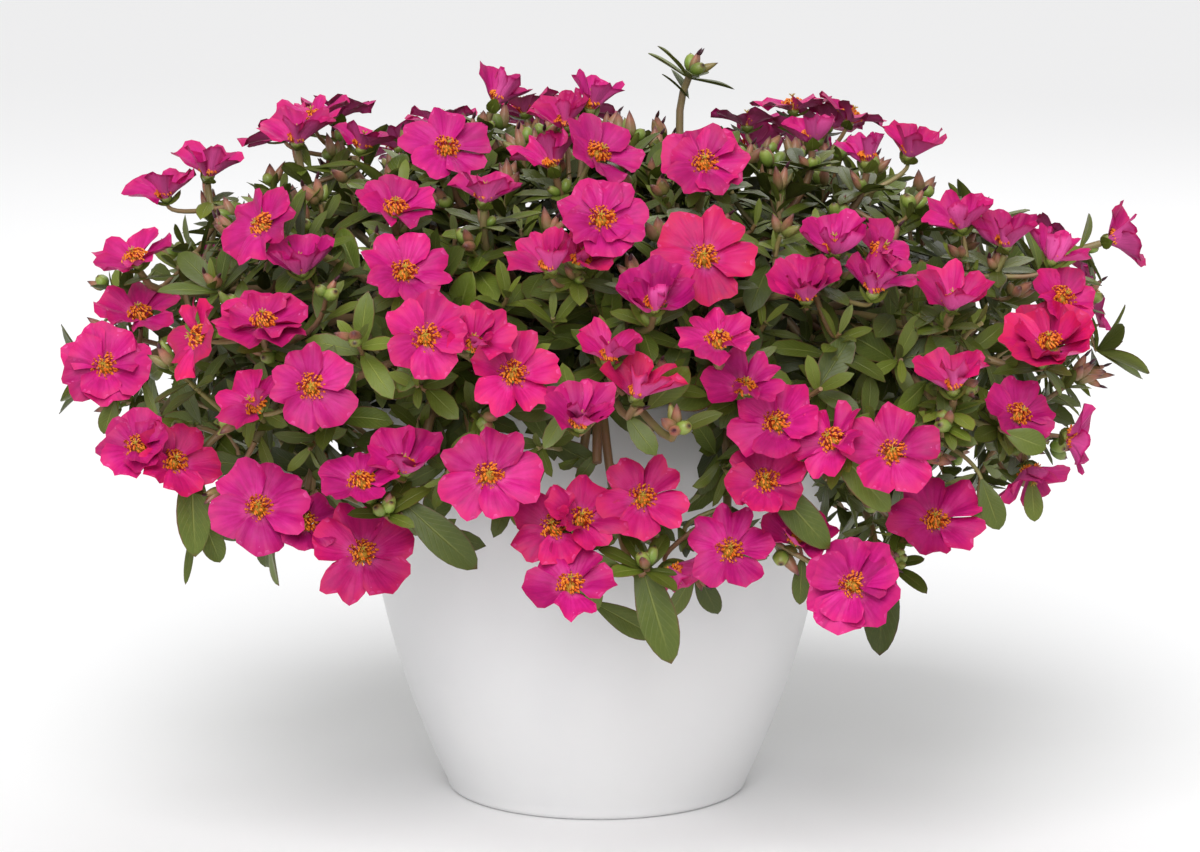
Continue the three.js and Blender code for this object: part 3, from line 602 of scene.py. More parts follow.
def makePotMaterial():
    # satin white plastic: hardly a shade from place to place, with a fine moulded grain
    material, shader = newSurface("potPlastic", potLook["roughness"])
    place = objectCoordinates(material)
    links = material.node_tree.links
    clouds = smoothMask(material, mottle(material, place, 7.0, 0.25), 0.35, 0.65)
    links.new(blendColours(material, clouds, potLook["cool"], potLook["plain"]), shader.inputs["Base Color"])
    roughness = mathNode(material, "MULTIPLY_ADD", mottle(material, place, 60.0, 0.5), 0.14, 0.30)
    links.new(roughness, shader.inputs["Roughness"])
    addBump(material, shader, mottle(material, place, 700.0, 0.6), 0.06, 0.0004)
    return material


soilLook = {
    "roughness": 0.95,
    "specular": 0.2,
    "crumbs": [
        (0.3, (0.010, 0.007, 0.005)), (0.5, (0.040, 0.026, 0.016)), (0.7, (0.095, 0.062, 0.038)),
    ],
    "fibre": (0.20, 0.15, 0.10),
    "toneSpread": 1.2,
}


def makeSoilMaterial():
    # brown crumbs of a coarse noise, with pale fibres where a finer noise is high
    material, shader = newSurface("pottingMix", soilLook["roughness"], soilLook["specular"])
    place = objectCoordinates(material)
    crumbs = mottle(material, place, 160.0, 0.5)
    fibres = smoothMask(material, mottle(material, place, 420.0, 0.6), 0.62, 0.72)
    colour = ramp(material, crumbs, soilLook["crumbs"])
    colour = blendColours(material, times(material, fibres, 0.5), colour, soilLook["fibre"])
    finishColour(material, shader, colour, soilLook)
    addBump(material, shader, crumbs, 0.9, 0.003)
    return material


petalMaterial = makePetalMaterial()
leafMaterial = makeLeafMaterial()
stemMaterial = makeStemMaterial()
budMaterial = makeBudMaterial()
stamenMaterial = makeStamenMaterial()
potMaterial = makePotMaterial()
soilMaterial = makeSoilMaterial()
print("materials made")

potShape = {
    "height": 205.0, "footRadius": 71.0, "rimRadius": 114.0, "bulge": 2.3, "wall": 4.0, "floor": 5.0,
    "footEdge": 4.0,  # radius of the quarter round between foot and wall
    "wallEnds": 7.0,  # the wall's curve starts and ends this far from foot and rim
    "wallRings": 26, "lipSteps": 9, "footSteps": 6, "sides": 128,
    "drains": 4, "drainRadius": 5.0, "drainRing": 36.0,
}


def potRadiusAt(height):
    share = np.clip(height / potShape["height"], 0.0, 1.0)
    reach = potShape["rimRadius"] - potShape["footRadius"]
    return potShape["footRadius"] + reach * (1.0 - (1.0 - share) ** potShape["bulge"])


def ringPoints(profile, sides):
    # each point (radius, height) of a profile turned about the axis: (rings, sides, 3)
    angle = 2.0 * math.pi * np.arange(sides) / sides
    points = np.empty((len(profile), sides, 3))
    points[..., :2] = profile[:, 0, None, None] * np.stack([np.cos(angle), np.sin(angle)], -1)
    points[..., 2] = profile[:, 1, None]
    return points


def latheBlock(profile, sides, material):
    # the profile (radius, height) turned about the axis; its first and last points lie on the axis
    profile = np.asarray(profile, float)
    points = ringPoints(profile[1:-1], sides)
    points = np.concatenate([points.reshape(-1, 3), [[0, 0, profile[0, 1]], [0, 0, profile[-1, 1]]]])
    turn = np.arctan2(points[:, 1], points[:, 0]) / 6.2832 + 0.5
    uv = np.stack([turn, points[:, 2] / potShape["height"]], -1)
    return block(points, ringFaces(len(profile) - 2, sides), uv, material)


def arc(middle, height, radius, turns):
    return np.stack([middle + radius * np.cos(turns), height + radius * np.sin(turns)], -1)


def makePot():
    # the profile runs up the outside, over the lip, which is a half round over the wall, and down the inside
    height, wall, floor, edge = (potShape[key] for key in ("height", "wall", "floor", "footEdge"))
    wallHeights = np.linspace(potShape["wallEnds"], height - potShape["wallEnds"], potShape["wallRings"])
    lipTurns = np.linspace(0.0, math.pi, potShape["lipSteps"])
    footTurns = np.linspace(-math.pi / 2, 0.0, potShape["footSteps"])
    profile = np.concatenate([
        [[0, 0]], [[20, 0]], [[50, 0]],
        arc(potRadiusAt(edge) - edge, edge, edge, footTurns),
        np.stack([potRadiusAt(wallHeights), wallHeights], -1),
        arc(potShape["rimRadius"] - wall / 2, height - wall / 2, wall / 2, lipTurns),
        np.stack([potRadiusAt(wallHeights[::-1]) - wall, wallHeights[::-1]], -1),
        [[potRadiusAt(floor) - wall - 3.0, floor]], [[20, floor]], [[0, floor]],
    ])
    blocks = [latheBlock(profile, potShape["sides"], potMaterial)]
    pot = makePiece("potFine", blocks, [potMaterial], ["pot"])
    cutters = []
    for number in range(potShape["drains"]):
        angle = 2.0 * math.pi * (number + 0.5) / potShape["drains"]
        centre = potShape["drainRing"] * np.array([math.cos(angle), math.sin(angle)])
        path = np.array([[*centre, -6.0], [*centre, 14.0]])
        cutters.append(tubeBlock(path, potShape["drainRadius"], 24, potMaterial))
    cutter = makePiece("drainCutter", cutters, [potMaterial], [])
    cut = pot.modifiers.new("drains", "BOOLEAN")
    cut.operation = "DIFFERENCE"
    cut.object = cutter
    cut.solver = "EXACT"
    finished = bpy.data.meshes.new_from_object(pot.evaluated_get(bpy.context.evaluated_depsgraph_get()))
    pot.modifiers.clear()
    pot.data = finished
    bpy.data.objects.remove(cutter)


soilShape = {
    "top": 190.0, "dome": 3.0, "gap": 0.3, "holeDepth": 18.0,
    "sides": 96, "rings": 30,
    "roughness": 0.45,
    "dent": 3.0, "dentRadius": 6.0,  # round each stem
    "sideHeights": [5.3, 14.0, 48.0, 100.0, 160.0, 186.0],
    "crumbs": 900, "crumbSize": (0.8, 2.8), "seed": 5,
}
mainStem = {"ring": 30.0, "reach": 0.84, "steps": 6, "gap": 0.3}
stemAzimuths = [-168 + 26 * i for i in range(7)] + [30 + 60 * i for i in range(3)]
# the six corners and eight faces of a chip or grain, along its own three directions
chipCorners = np.array([[1, 0, 0], [-1, 0, 0], [0, 1, 0], [0, -1, 0], [0, 0, 1], [0, 0, -1]], float)
chipFaces = np.array([[0, 2, 4], [2, 1, 4], [1, 3, 4], [3, 0, 4], [2, 0, 5], [1, 2, 5], [3, 1, 5], [0, 3, 5]])


def makeSoil():
    # the top is a disc of rings with a low dome, lumps of two sizes, and a dent round each stem
    generator = np.random.default_rng(soilShape["seed"])
    sides = soilShape["sides"]
    inset = potShape["wall"] + soilShape["gap"]
    edge = potRadiusAt(soilShape["top"]) - potShape["wall"] - soilShape["gap"] - 0.4
    radii = np.linspace(0.0, edge, soilShape["rings"] + 1)[1:]
    angle = 2.0 * math.pi * np.arange(sides) / sides
    x = radii[::-1, None] * np.cos(angle)
    y = radii[::-1, None] * np.sin(angle)
    lumps = 1.2 * np.sin(x * 0.21 + 1.0) * np.sin(y * 0.19) + 0.9 * np.sin(x * 0.53 + y * 0.37)
    lumps = lumps + generator.normal(0.0, soilShape["roughness"], x.shape)
    z = soilShape["top"] + soilShape["dome"] * (1.0 - (np.hypot(x, y) / edge) ** 2)
    z = z + lumps * smoothStep((edge - np.hypot(x, y)) / 12.0) - 1.0
    for azimuth in np.radians(stemAzimuths):
        away = np.hypot(x - mainStem["ring"] * math.cos(azimuth), y - mainStem["ring"] * math.sin(azimuth))
        z = z - soilShape["dent"] * np.exp(-((away / soilShape["dentRadius"]) ** 2))
    heights = soilShape["sideHeights"]
    wall = np.array([[potRadiusAt(h) - inset - (3.0 if h < 6 else 0.0), h] for h in heights])
    points = np.concatenate([ringPoints(wall, sides), np.stack([x, y, z], -1)])
    faces = ringFaces(len(points), sides)
    points = np.concatenate([points.reshape(-1, 3), [[0, 0, heights[0]], [0, 0, float(z[-1].mean())]]])
    bed = block(points, faces, points[:, :2] / 200.0, soilMaterial)
    # crumbs: eight-sided chips pressed into the top
    total = soilShape["crumbs"]
    reach = (edge - 4.0) * np.sqrt(generator.random(total))
    around = 2.0 * math.pi * generator.random(total)
    height = soilShape["top"] + soilShape["dome"] * (1.0 - (reach / edge) ** 2)
    height = height + generator.normal(0, 0.7, total)
    centre = np.stack([reach * np.cos(around), reach * np.sin(around), height], -1)
    size = generator.uniform(*soilShape["crumbSize"], total)[:, None, None]
    size = size * generator.uniform(0.5, 1.2, (total, 6, 1))
    tilt = unit(generator.normal(size=(total, 3)))
    basis = np.stack([*uprightFrames(tilt), tilt], 1)
    chips = (centre[:, None] + np.einsum("kc,nci->nki", chipCorners, basis) * size).reshape(-1, 3)
    tones = np.repeat(generator.random(total), 6)
    crumbs = block(chips, [tiled(chipFaces, total, 6)], chips[:, :2] / 200.0, soilMaterial, tone=tones)
    makePiece("soilFine", [bed, crumbs], [soilMaterial], ["soil"])


makePot()
makeSoil()
print("pot and soil made")

# a rounded box, with its half-widths to the side, front, top and bottom, and the room that it leaves the pot
cushion = {
    "side": 250.0, "front": 205.0, "up": 120.0, "down": 128.0, "middle": 218.0, "power": 2.1, "fromPot": 36.0,
}
cushionMiddle = np.array([0, 0, cushion["middle"]])


def outside(point):
    # below zero inside the cushion: the root of the sum of its three shares, each to the power, less 1
    point = np.asarray(point, float)
    dz = point[..., 2] - cushion["middle"]
    power = cushion["power"]
    total = (
        np.abs(point[..., 0] / cushion["side"]) ** power
        + np.abs(point[..., 1] / cushion["front"]) ** power
        + np.abs(dz / np.where(dz > 0, cushion["up"], cushion["down"])) ** power
    )
    fromPot = np.hypot(point[..., 0], point[..., 1]) / (potRadiusAt(point[..., 2]) + cushion["fromPot"])
    hanging = (point[..., 2] > 60) & (point[..., 2] < 230)
    return np.minimum(total ** (1.0 / power), np.where(hanging, fromPot, 9.0)) - 1.0


def sightLine(across, height):
    return unit(np.array([across, 0.0, height]) - eye)


def sightDistance(across, height):
    distances = np.arange(1650.0, 2250.0)
    values = outside(eye + distances[:, None] * sightLine(across, height))
    inside = np.flatnonzero(values < 0)
    last = inside[0] + 1 if len(inside) else len(values)
    return distances[np.argmin(values[:last])]


def outward(point):
    # the cushion's slope, square to its surface
    power = cushion["power"]
    dz = point[..., 2] - cushion["middle"]
    halves = (cushion["side"], cushion["front"], np.where(dz > 0, cushion["up"], cushion["down"]))
    values = (point[..., 0], point[..., 1], dz)
    slope = lambda value, half: np.sign(value) * np.abs(value / half) ** (power - 1) / half
    return unit(np.stack([slope(value, half) for value, half in zip(values, halves)], -1))


def sightedPlace(across, height, turn, tilt, distance):
    line = sightLine(across, height)
    upright = unit(np.cross(right, line))
    turn, tilt = math.radians(turn), math.radians(tilt)
    axis = -math.cos(tilt) * line + math.sin(tilt) * (math.sin(turn) * right + math.cos(turn) * upright)
    return eye + line * distance, unit(axis)


def surfaceTowards(direction, step=1.0):
    # where the line from the cushion's middle leaves it
    line = cushionMiddle + np.arange(320.0, 0.0, -step)[:, None] * direction
    return line[np.flatnonzero(outside(line) <= 0)[0]]


def pointTowards(azimuth, latitude):
    azimuth, latitude = math.radians(azimuth), math.radians(latitude)
    flat = math.cos(latitude)
    return surfaceTowards(np.array([flat * math.cos(azimuth), flat * math.sin(azimuth), math.sin(latitude)]))


bloomShape = {
    "floorRadius": 4.6,
    "longestCone": 8.0, "shortestCone": 3.2,  # the cup under a closed and under an open bloom
    "closedLean": 25.0, "openLean": 78.0,  # between a petal and its bloom's axis
}

# One row a truss of touching blooms; one entry a bloom:
# [across, height, turn, tilt, open, petal length, sink]. Across and height are where the eye sees its middle
# against the plane y = 0. Tilt is the angle between its axis and the line to the eye, and turn is where it
# leans: 0 up, 90 to the right. Open runs from 0, a cup, to 1, nearly flat. Sink moves it away from the eye:
# the first bloom of a truss from the cushion's surface, the others from the first.
frontTrusses = [
    [[-44, 340, 26, 80, 0.3, 21, -38]],
    [[-23, 309, -15, 74, 0.45, 22, 7], [2, 309, 40, 48, 0.75, 21, -4], [-16, 326, -8, 62, 0.7, 21, 17],
        [-2, 337, 12, 74, 0.35, 20, 20]],
    [[-142, 318, 0, 66, 0.75, 22, 0], [-111, 314, 12, 80, 0.8, 19, 0]],
    [[-71, 311, 15, 40, 0.88, 22, 0]],
    [[51, 303, 0, 32, 1, 21, 0]],
    [[101, 321, -5, 78, 0.45, 18, 0]],
    [[128, 311, 0, 76, 0.4, 18, 0], [149, 313, 8, 70, 0.6, 21, 0]],
    [[-184, 303, 5, 68, 0.65, 22, 0], [-206, 291, -12, 70, 0.8, 21, 0]],
    [[-160, 273, -60, 52, 0.95, 22, 0], [-142, 258, -10, 62, 0.6, 22, -11]],
    [[-160, 228, 0, 60, 0.95, 24, 0], [-192, 219, -75, 60, 0.9, 21, 6]],
    [[-96, 284, 5, 50, 0.65, 21, 0]],
    [[-53, 291, 4, 72, 0.65, 20, 0]],
    [[-7, 259, 15, 45, 0.7, 19, 6], [2, 276, 0, 28, 1, 21, 7], [-24, 259, -12, 56, 0.5, 21, -6]],
    [[51, 258, 0, 24, 0.92, 24, 0]],
    [[-221, 259, -20, 62, 0.8, 21, 0]],
    [[-236, 205, -30, 22, 1, 23, 0], [-219, 232, -8, 58, 0.85, 22, 16]],
    [[-92, 251, 8, 36, 0.92, 22, 11]],
    [[-82, 219, 0, 18, 1, 21, 0], [-59, 218, 10, 38, 0.75, 21, 5], [-40, 202, 10, 25, 0.9, 23, 3]],
    [[-137, 195, 0, 12, 1, 21, 0], [-165, 187, -40, 48, 0.9, 20, 8]],
    [[27, 241, 0, 48, 0.5, 23, -8]],
    [[58, 219, 5, 52, 0.8, 20, -2]],
    [[71, 196, 10, 35, 0.9, 20, 18]],
    [[113, 267, 0, 62, 0.65, 22, 0], [99, 244, -5, 45, 0.5, 23, -8], [133, 248, 10, 58, 0.5, 21, -3],
        [135, 262, 50, 50, 0.9, 18, 10]],
    [[170, 241, 5, 54, 0.55, 23, 0]],
    [[195, 271, 4, 62, 0.5, 22, 0], [172, 279, -12, 68, 0.6, 21, 0], [220, 264, 22, 70, 0.45, 19, 0]],
    [[251, 268, 72, 76, 0.6, 22, 0]],
    [[216, 220, -8, 48, 0.62, 24, 0], [223, 239, 40, 42, 0.8, 18, 18]],
    [[170, 201, -4, 64, 0.6, 23, 0]],
    [[21, 198, 14, 58, 0.5, 22, 0], [6, 214, 5, 54, 0.6, 20, 0], [-8, 182, 8, 45, 0.6, 23, -12]],
    [[112, 170, -40, 42, 0.8, 20, -4], [86, 178, -18, 28, 0.85, 22, 5], [142, 163, 0, 20, 1, 23, -6]],
    [[81, 149, 0, 28, 0.95, 20, 10]],
    [[163, 130, 0, 36, 1, 24, 0]],
    [[-114, 150, -10, 46, 0.85, 21, 0], [-93, 160, -4, 48, 0.65, 22, 0]],
    [[-52, 152, 5, 18, 1, 24, 0]],
    [[-203, 159, 20, 32, 0.92, 22, 0], [-221, 166, -25, 30, 0.9, 20, 0]],
    [[-141, 129, 12, 40, 0.9, 19, 3], [-163, 136, -10, 20, 1, 24, 0], [-113, 114, 0, 24, 1, 25, -5]],
    [[-8, 131, 20, 34, 0.9, 21, 0], [22, 141, 0, 20, 1, 23, 6], [-21, 127, -30, 30, 0.9, 21, 0],
        [-13, 99, 0, 42, 0.92, 22, -14]],
    [[64, 115, 14, 24, 1, 22, 0], [97, 123, 20, 42, 0.8, 19, 9], [123, 98, -60, 20, 0.92, 24, -3],
        [37, 102, 150, 68, 0.8, 18, 4]],
    [[209, 151, 160, 64, 0.8, 20, 0], [230, 170, 98, 72, 0.85, 20, 4]],
    [[203, 182, 40, 42, 0.85, 19, 12]],
]

# Heads that carry only buds and capsules, as [across, height, turn, tilt, sink].
bareHeads = [
    [44, 345, 28, 82, -40],
    [38, 174, 0, 40, 0],
    [-102, 133, -20, 40, 0],
    [168, 176, 10, 40, 0],
    [24, 106, 20, 50, -22],
    [143, 108, 20, 40, 2],
]

# The large low leaves, as [head, across, height]: where the eye sees the tip of a leaf that grows from that
# head.
lowLeaves = [
    [51, -58, 106],
    [53, 36, 59],
    [54, 137, 63],
    [30, 141, 134],
    [31, 112, 116],
    [35, -194, 112],
]

backTruss = {
    "count": 8, "firstAzimuth": 18.0, "lastAzimuth": 162.0, "latitudes": [4, 34, 26],
    "members": 3, "firstIndex": 200, "spread": 16.6,
    "splay": 0.35, "rise": 0.25,  # how much a bloom turns away from its mates, and up
    "open": (0.78, 0.95), "petalLength": 21.0,
}


def petalLean(opening):
    return np.radians(mix(bloomShape["closedLean"], bloomShape["openLean"], opening))


def coneDepth(opening):
    return mix(bloomShape["longestCone"], bloomShape["shortestCone"], opening)


def bloomAt(point, axis, opening, length, index):
    spin = 2.0 * math.pi * draw(index, 3)
    return {"point": point, "axis": axis, "open": opening, "length": length, "spin": spin, "index": index}


def makeFrontTrusses():
    trusses, index = [], 0
    for rows in frontTrusses:
        distance = sightDistance(rows[0][0], rows[0][1])
        truss = []
        for across, height, turn, tilt, opening, length, sink in rows:
            index += 1
            point, axis = sightedPlace(across, height, turn, tilt, distance + sink)
            point = point - axis * 0.5 * length * math.cos(petalLean(opening))
            truss.append(bloomAt(point, axis, opening, length, index))
        trusses.append(truss)
    return trusses


def makeBackTrusses():
    # trusses of three in three rows round the back
    trusses = []
    members = backTruss["members"]
    for number in range(backTruss["count"]):
        share = number / (backTruss["count"] - 1)
        azimuth = mix(backTruss["firstAzimuth"], backTruss["lastAzimuth"], share)
        centre = pointTowards(azimuth, backTruss["latitudes"][number % 3])
        out = outward(centre)
        along = unit(np.cross(up, out))
        across = np.cross(out, along)
        truss = []
        for i in range(members):
            index = backTruss["firstIndex"] + members * number + i
            angle = 2.0 * math.pi * (i / members + draw(number, 4))
            aside = along * math.cos(angle) + across * math.sin(angle)
            axis = unit(out + backTruss["splay"] * aside + backTruss["rise"] * up)
            opening = mix(*backTruss["open"], draw(index, 5))
            place = centre + backTruss["spread"] * aside
            truss.append(bloomAt(place, axis, opening, backTruss["petalLength"], index))
        trusses.append(truss)
    return trusses


trusses = makeFrontTrusses() + makeBackTrusses()
blooms = [bloom for truss in trusses for bloom in truss]
print("blooms placed:", len(blooms))

petalShape = {
    "outer": 5, "inner": 3,
    "across": 10, "along": 8,
    "heartRadius": 1.3,
    "narrow": 28.0, "wide": 48.0,  # half a petal's angle round the heart, at its foot and further out
    "slender": 0.82,  # the narrowest petals of a single bloom, against the broad ones
    "notch": 0.07,
    "doubleDrop": 0.24, "singleDrop": (0.28, 0.46),  # how much shorter a petal is at its sides
    "innerLength": 0.84, "innerRaise": 5.0,  # inner petals are shorter, and this many degrees steeper
    "leanSpread": 18.0, "bendSpread": 32.0,  # from one petal to the next, in degrees
    "thickness": 0.40,
    "cupBend": (-46.0, 14.0), "openBend": (5.0, 42.0),  # from foot to tip; below zero it bends in
    "overlap": 2.0,  # one edge rides this far over the next petal, in millimetres
    "ruffle": 1.75,
    "crowdNear": 12.0, "crowdFar": 26.0, "crowdRaise": 40.0,  # petals between close blooms stand up so much
    "hoodRaise": 34.0, "hoodWiden": 0.3,  # the front petal of a hooded bloom stands up and is broader
}
# the blooms that are more scarlet than magenta, by their index
warmBlooms = {
    18: 0.5, 21: 0.5, 24: 0.5, 30: 0.3, 31: 0.3, 46: 0.5, 48: 0.3, 49: 0.6, 52: 0.2, 55: 0.35, 60: 0.4,
    64: 0.3, 65: 0.35, 66: 0.35, 67: 0.35,
}
# the blooms with a second ring of petals, by their index
doubleBlooms = [9, 17, 22, 26, 30, 34, 38, 46, 51, 61, 71]
# the blooms whose front petal stands up and hides the stamens, by their index
hoodedBlooms = [
    1, 2, 4, 5, 6, 7, 10, 11, 12, 13, 14, 16, 20, 21, 23, 30, 33, 34, 36, 37, 38, 39, 40, 41, 42, 43, 44, 45,
    48, 49, 50, 51, 58, 70, 72, 73, 74,
]


def pointing(truss, owner, middle):
    # which way each petal points, square to its bloom's axis
    sideways, other = uprightFrames(valuesOf(truss, "axis")[owner])
    return sideways * np.cos(middle) + other * np.sin(middle)


def crowding(truss, owner, middle):
    # 1 where a petal points straight at a close bloom of its truss, 0 where it points into the open
    places = valuesOf(truss, "point")
    gap = places[None] - places[owner][:, None]
    distance = np.linalg.norm(gap, axis=-1)
    towards = pointing(truss, owner, middle)
    facing = np.einsum("pc,pmc->pm", towards, gap / np.maximum(distance, 1.0)[..., None])
    nearest, furthest = petalShape["crowdNear"], petalShape["crowdFar"]
    near = smoothStep((furthest - distance) / (furthest - nearest)) * (distance > 0.0)
    return np.max(np.clip(facing, 0.0, 1.0) ** 2 * near, axis=1, keepdims=True)


def hooding(truss, owner, middle):
    # 1 where a petal of a hooded bloom points straight at the eye, 0 where it points aside or away
    axes = valuesOf(truss, "axis")[owner]
    view = eye - valuesOf(truss, "point")[owner]
    view = unit(view - axes * np.sum(view * axes, axis=1, keepdims=True))
    facing = np.clip(np.sum(pointing(truss, owner, middle) * view, axis=1, keepdims=True), 0.0, 1.0)
    return facing ** 1.5 * np.isin(valuesOf(truss, "index"), hoodedBlooms)[owner][:, None]


def petalBlock(truss):
    # A petal lies on the cone round its bloom's axis. Its width is an angle that grows from narrow to wide,
    # its length falls off to both sides and has a notch in the middle, and its slope turns evenly from foot
    # to tip: outwards where the bloom is open, inwards where it is a cup. Waves that grow towards the edge
    # lift it along its normal, and one edge rides over the next petal.
    u, v, side, faces = shellGrid(petalShape["across"], petalShape["along"])
    outer, petals = petalShape["outer"], petalShape["outer"] + petalShape["inner"]
    isDouble = np.isin(valuesOf(truss, "index"), doubleBlooms)
    number, owner = np.tile(np.arange(petals), len(truss)), np.repeat(np.arange(len(truss)), petals)
    kept = np.flatnonzero((number < outer) | isDouble[owner])
    number, owner = number[kept], owner[kept]
    isInner, isDouble = number >= outer, isDouble[owner][:, None]
    repeated = lambda key: valuesOf(truss, key)[owner]
    index = repeated("index")
    serial = index * petals + number
    column = lambda values: np.asarray(values)[:, None]
    drawn = lambda kind: column(draw(serial, kind))
    opening = column(repeated("open"))
    turn = 2.0 * math.pi * number / np.where(isInner, petalShape["inner"], outer) + 0.6 * isInner
    middle = column(turn + repeated("spin") + 0.24 * (draw(serial, 21) - 0.5))
    hood = hooding(truss, owner, middle)
    lean = petalLean(opening) + np.radians(petalShape["leanSpread"]) * (drawn(28) - 0.5)
    lean = lean - column(np.where(isInner, math.radians(petalShape["innerRaise"]), 0.0))
    lean = lean - math.radians(petalShape["crowdRaise"]) * crowding(truss, owner, middle)
    lean = lean - math.radians(petalShape["hoodRaise"]) * hood
    length = column(repeated("length") * mix(0.92, 1.05, draw(serial, 1)))
    length = length * column(np.where(isInner, petalShape["innerLength"], 1.0))
    # its width and its outline
    halfAngle = np.radians(mix(petalShape["narrow"], petalShape["wide"], smoothStep(v / 0.5)))
    slender = mix(petalShape["slender"], 1.0, column(draw(index, 46)))
    slender = np.where(isDouble, 1.0, slender)
    slender = np.maximum(slender, 1.0 * (hood > 0.1)) * (1.0 + petalShape["hoodWiden"] * hood)
    angle = middle - u * halfAngle * slender * mix(0.92, 1.06, drawn(29))
    drop = np.where(isDouble, petalShape["doubleDrop"], mix(*petalShape["singleDrop"], drawn(45)))
    phaseA, phaseB = 6.28 * drawn(22), 6.28 * drawn(23)
    reach = length * (
        1.0 - drop * np.abs(u) ** 3.2
        - petalShape["notch"] * np.exp(-((u / 0.17) ** 2)) * mix(0.2, 1.6, drawn(25))
        + 0.040 * np.sin(5.0 * u + phaseA) + 0.034 * np.sin(8.0 * u + phaseB)
    )
    # its slope: an arc whose ends are bend apart
    manner = column(draw(index, 40))
    cupBend, openBend = mix(*petalShape["cupBend"], manner), mix(*petalShape["openBend"], manner)
    bend = mix(cupBend, openBend, smoothStep((opening - 0.4) / 0.5))
    bend = np.radians(bend + petalShape["bendSpread"] * (drawn(30) - 0.5))
    bend = np.where(np.abs(bend) < 0.03, 0.03, bend)
    start = lean - 0.55 * bend
    heart = petalShape["heartRadius"]
    run = reach - heart
    radius = heart + run * (np.cos(start) - np.cos(start + bend * v)) / bend
    rise = run * (np.sin(start + bend * v) - np.sin(start)) / bend
    rise = rise - (bloomShape["floorRadius"] - heart) * np.cos(lean)
    steep = start + bend * v
    # its waves, folds and thickness
    skew = 1.4 * (drawn(2) - 0.2)
    lift = u * (petalShape["overlap"] * 0.5 + 0.5 * skew) * smoothStep(v / 0.45)
    ruffle = petalShape["ruffle"] * mix(0.5, 1.5, drawn(24))
    lift = lift + ruffle * v**2.0 * (
        0.80 * np.sin(1.7 * math.pi * u + phaseA) + 0.60 * v * np.sin(2.7 * math.pi * u + phaseB + 2.5 * v)
    )
    lift = lift + column(np.where(isInner, 0.9, 0.0)) * smoothStep(v / 0.3)
    lift = lift + 0.45 * v * np.sin(6.0 * v + phaseB) + 1.6 * np.abs(u) ** 2 * smoothStep(v / 0.6)
    lift = lift - 0.8 * np.exp(-((u / 0.2) ** 2)) * v * (1.0 - v)
    lift = lift + side * 0.5 * petalShape["thickness"] * mix(1.0, 0.6, v)
    radius = radius - lift * np.cos(steep)
    rise = rise + lift * np.sin(steep)
    axes = repeated("axis")
    places = (radius * np.cos(angle), radius * np.sin(angle), rise)
    points = inFrames(repeated("point"), (*uprightFrames(axes), axes), places)
    warmth = [warmBlooms.get(int(bloom), 0.22 * draw(bloom, 26)) for bloom in index]
    uv = np.stack([u * 0.5 + 0.5, v], -1)
    return copiesBlock(points, [faces], uv, petalMaterial, side, tone=draw(serial, 27), warmth=warmth)


heartShape = {
    "stamens": 84, "discRadius": 2.3,
    "closedSpread": 34.0, "openSpread": 68.0, "leanSpread": 20.0, "lifted": 0.28,
    "shortest": 4.4, "longest": 7.0,
    "filament": 0.19, "anther": 0.52,  # their radii
    "lobes": 5, "lobeRadius": 0.3, "lobeSpread": 1.6, "lobeRise": 1.5, "styleHeight": 6.4,
    "dome": 2.8, "domeRise": 1.4,  # its radius, and how much more its height is
    "hooded": 0.7,  # how much shorter the stamens of a hooded bloom are
}


def needleBlock(feet, tips, radius, tone):
    # three-sided tapered threads from feet to tips
    angle = 2.0 * math.pi * np.arange(3) / 3
    ring = circleRound(*uprightFrames(unit(tips - feet)), angle)
    points = np.concatenate([feet[:, None] + ring * radius, tips[:, None] + ring * radius * 0.7], 1)
    faces = [np.array([[0, 1, 4, 3], [1, 2, 5, 4], [2, 0, 3, 5]]), np.array([[2, 1, 0], [3, 4, 5]])]
    uv = np.stack([np.tile(angle / 6.2832, 2), np.repeat([0.0, 1.0], 3)], -1)
    return copiesBlock(points.reshape(-1, 3), faces, uv, stamenMaterial, tone=tone)


def grainBlock(centres, axes, radius, tone):
    # eight-sided grains, longer than wide
    corners = chipCorners * np.array([1.0, 1.0, 1.7])
    basis = np.stack([*uprightFrames(axes), axes], 1)
    points = centres[:, None] + np.einsum("kc,nci->nki", corners, basis) * radius[:, None, None]
    uv = corners[:, :2] * 0.4 + 0.5
    return copiesBlock(points.reshape(-1, 3), [chipFaces], uv, stamenMaterial, tone=tone)


def podBlock(feet, axes, radius, length, profile, material, **marks):
    # Pods, buds and cups: the radius follows profile(v) along the axis, with two low keels down opposite
    # sides.
    turn, v, faces = roundGrid(8, 6)
    radius, length = (np.broadcast_to(value, (len(feet),))[:, None] for value in (radius, length))
    width = radius * profile(v)[None] * (1.0 + 0.10 * np.cos(4.0 * math.pi * turn))[None]
    angle = 2.0 * math.pi * turn
    places = (width * np.cos(angle), width * np.sin(angle), length * v[None])
    points = inFrames(feet, (*uprightFrames(axes), axes), places)
    return copiesBlock(points, faces, np.stack([turn, v], -1), material, **marks)


def domeProfile(v):
    return np.sqrt(np.clip(1.0 - v**2.2, 0, 1)) * (v > 0)


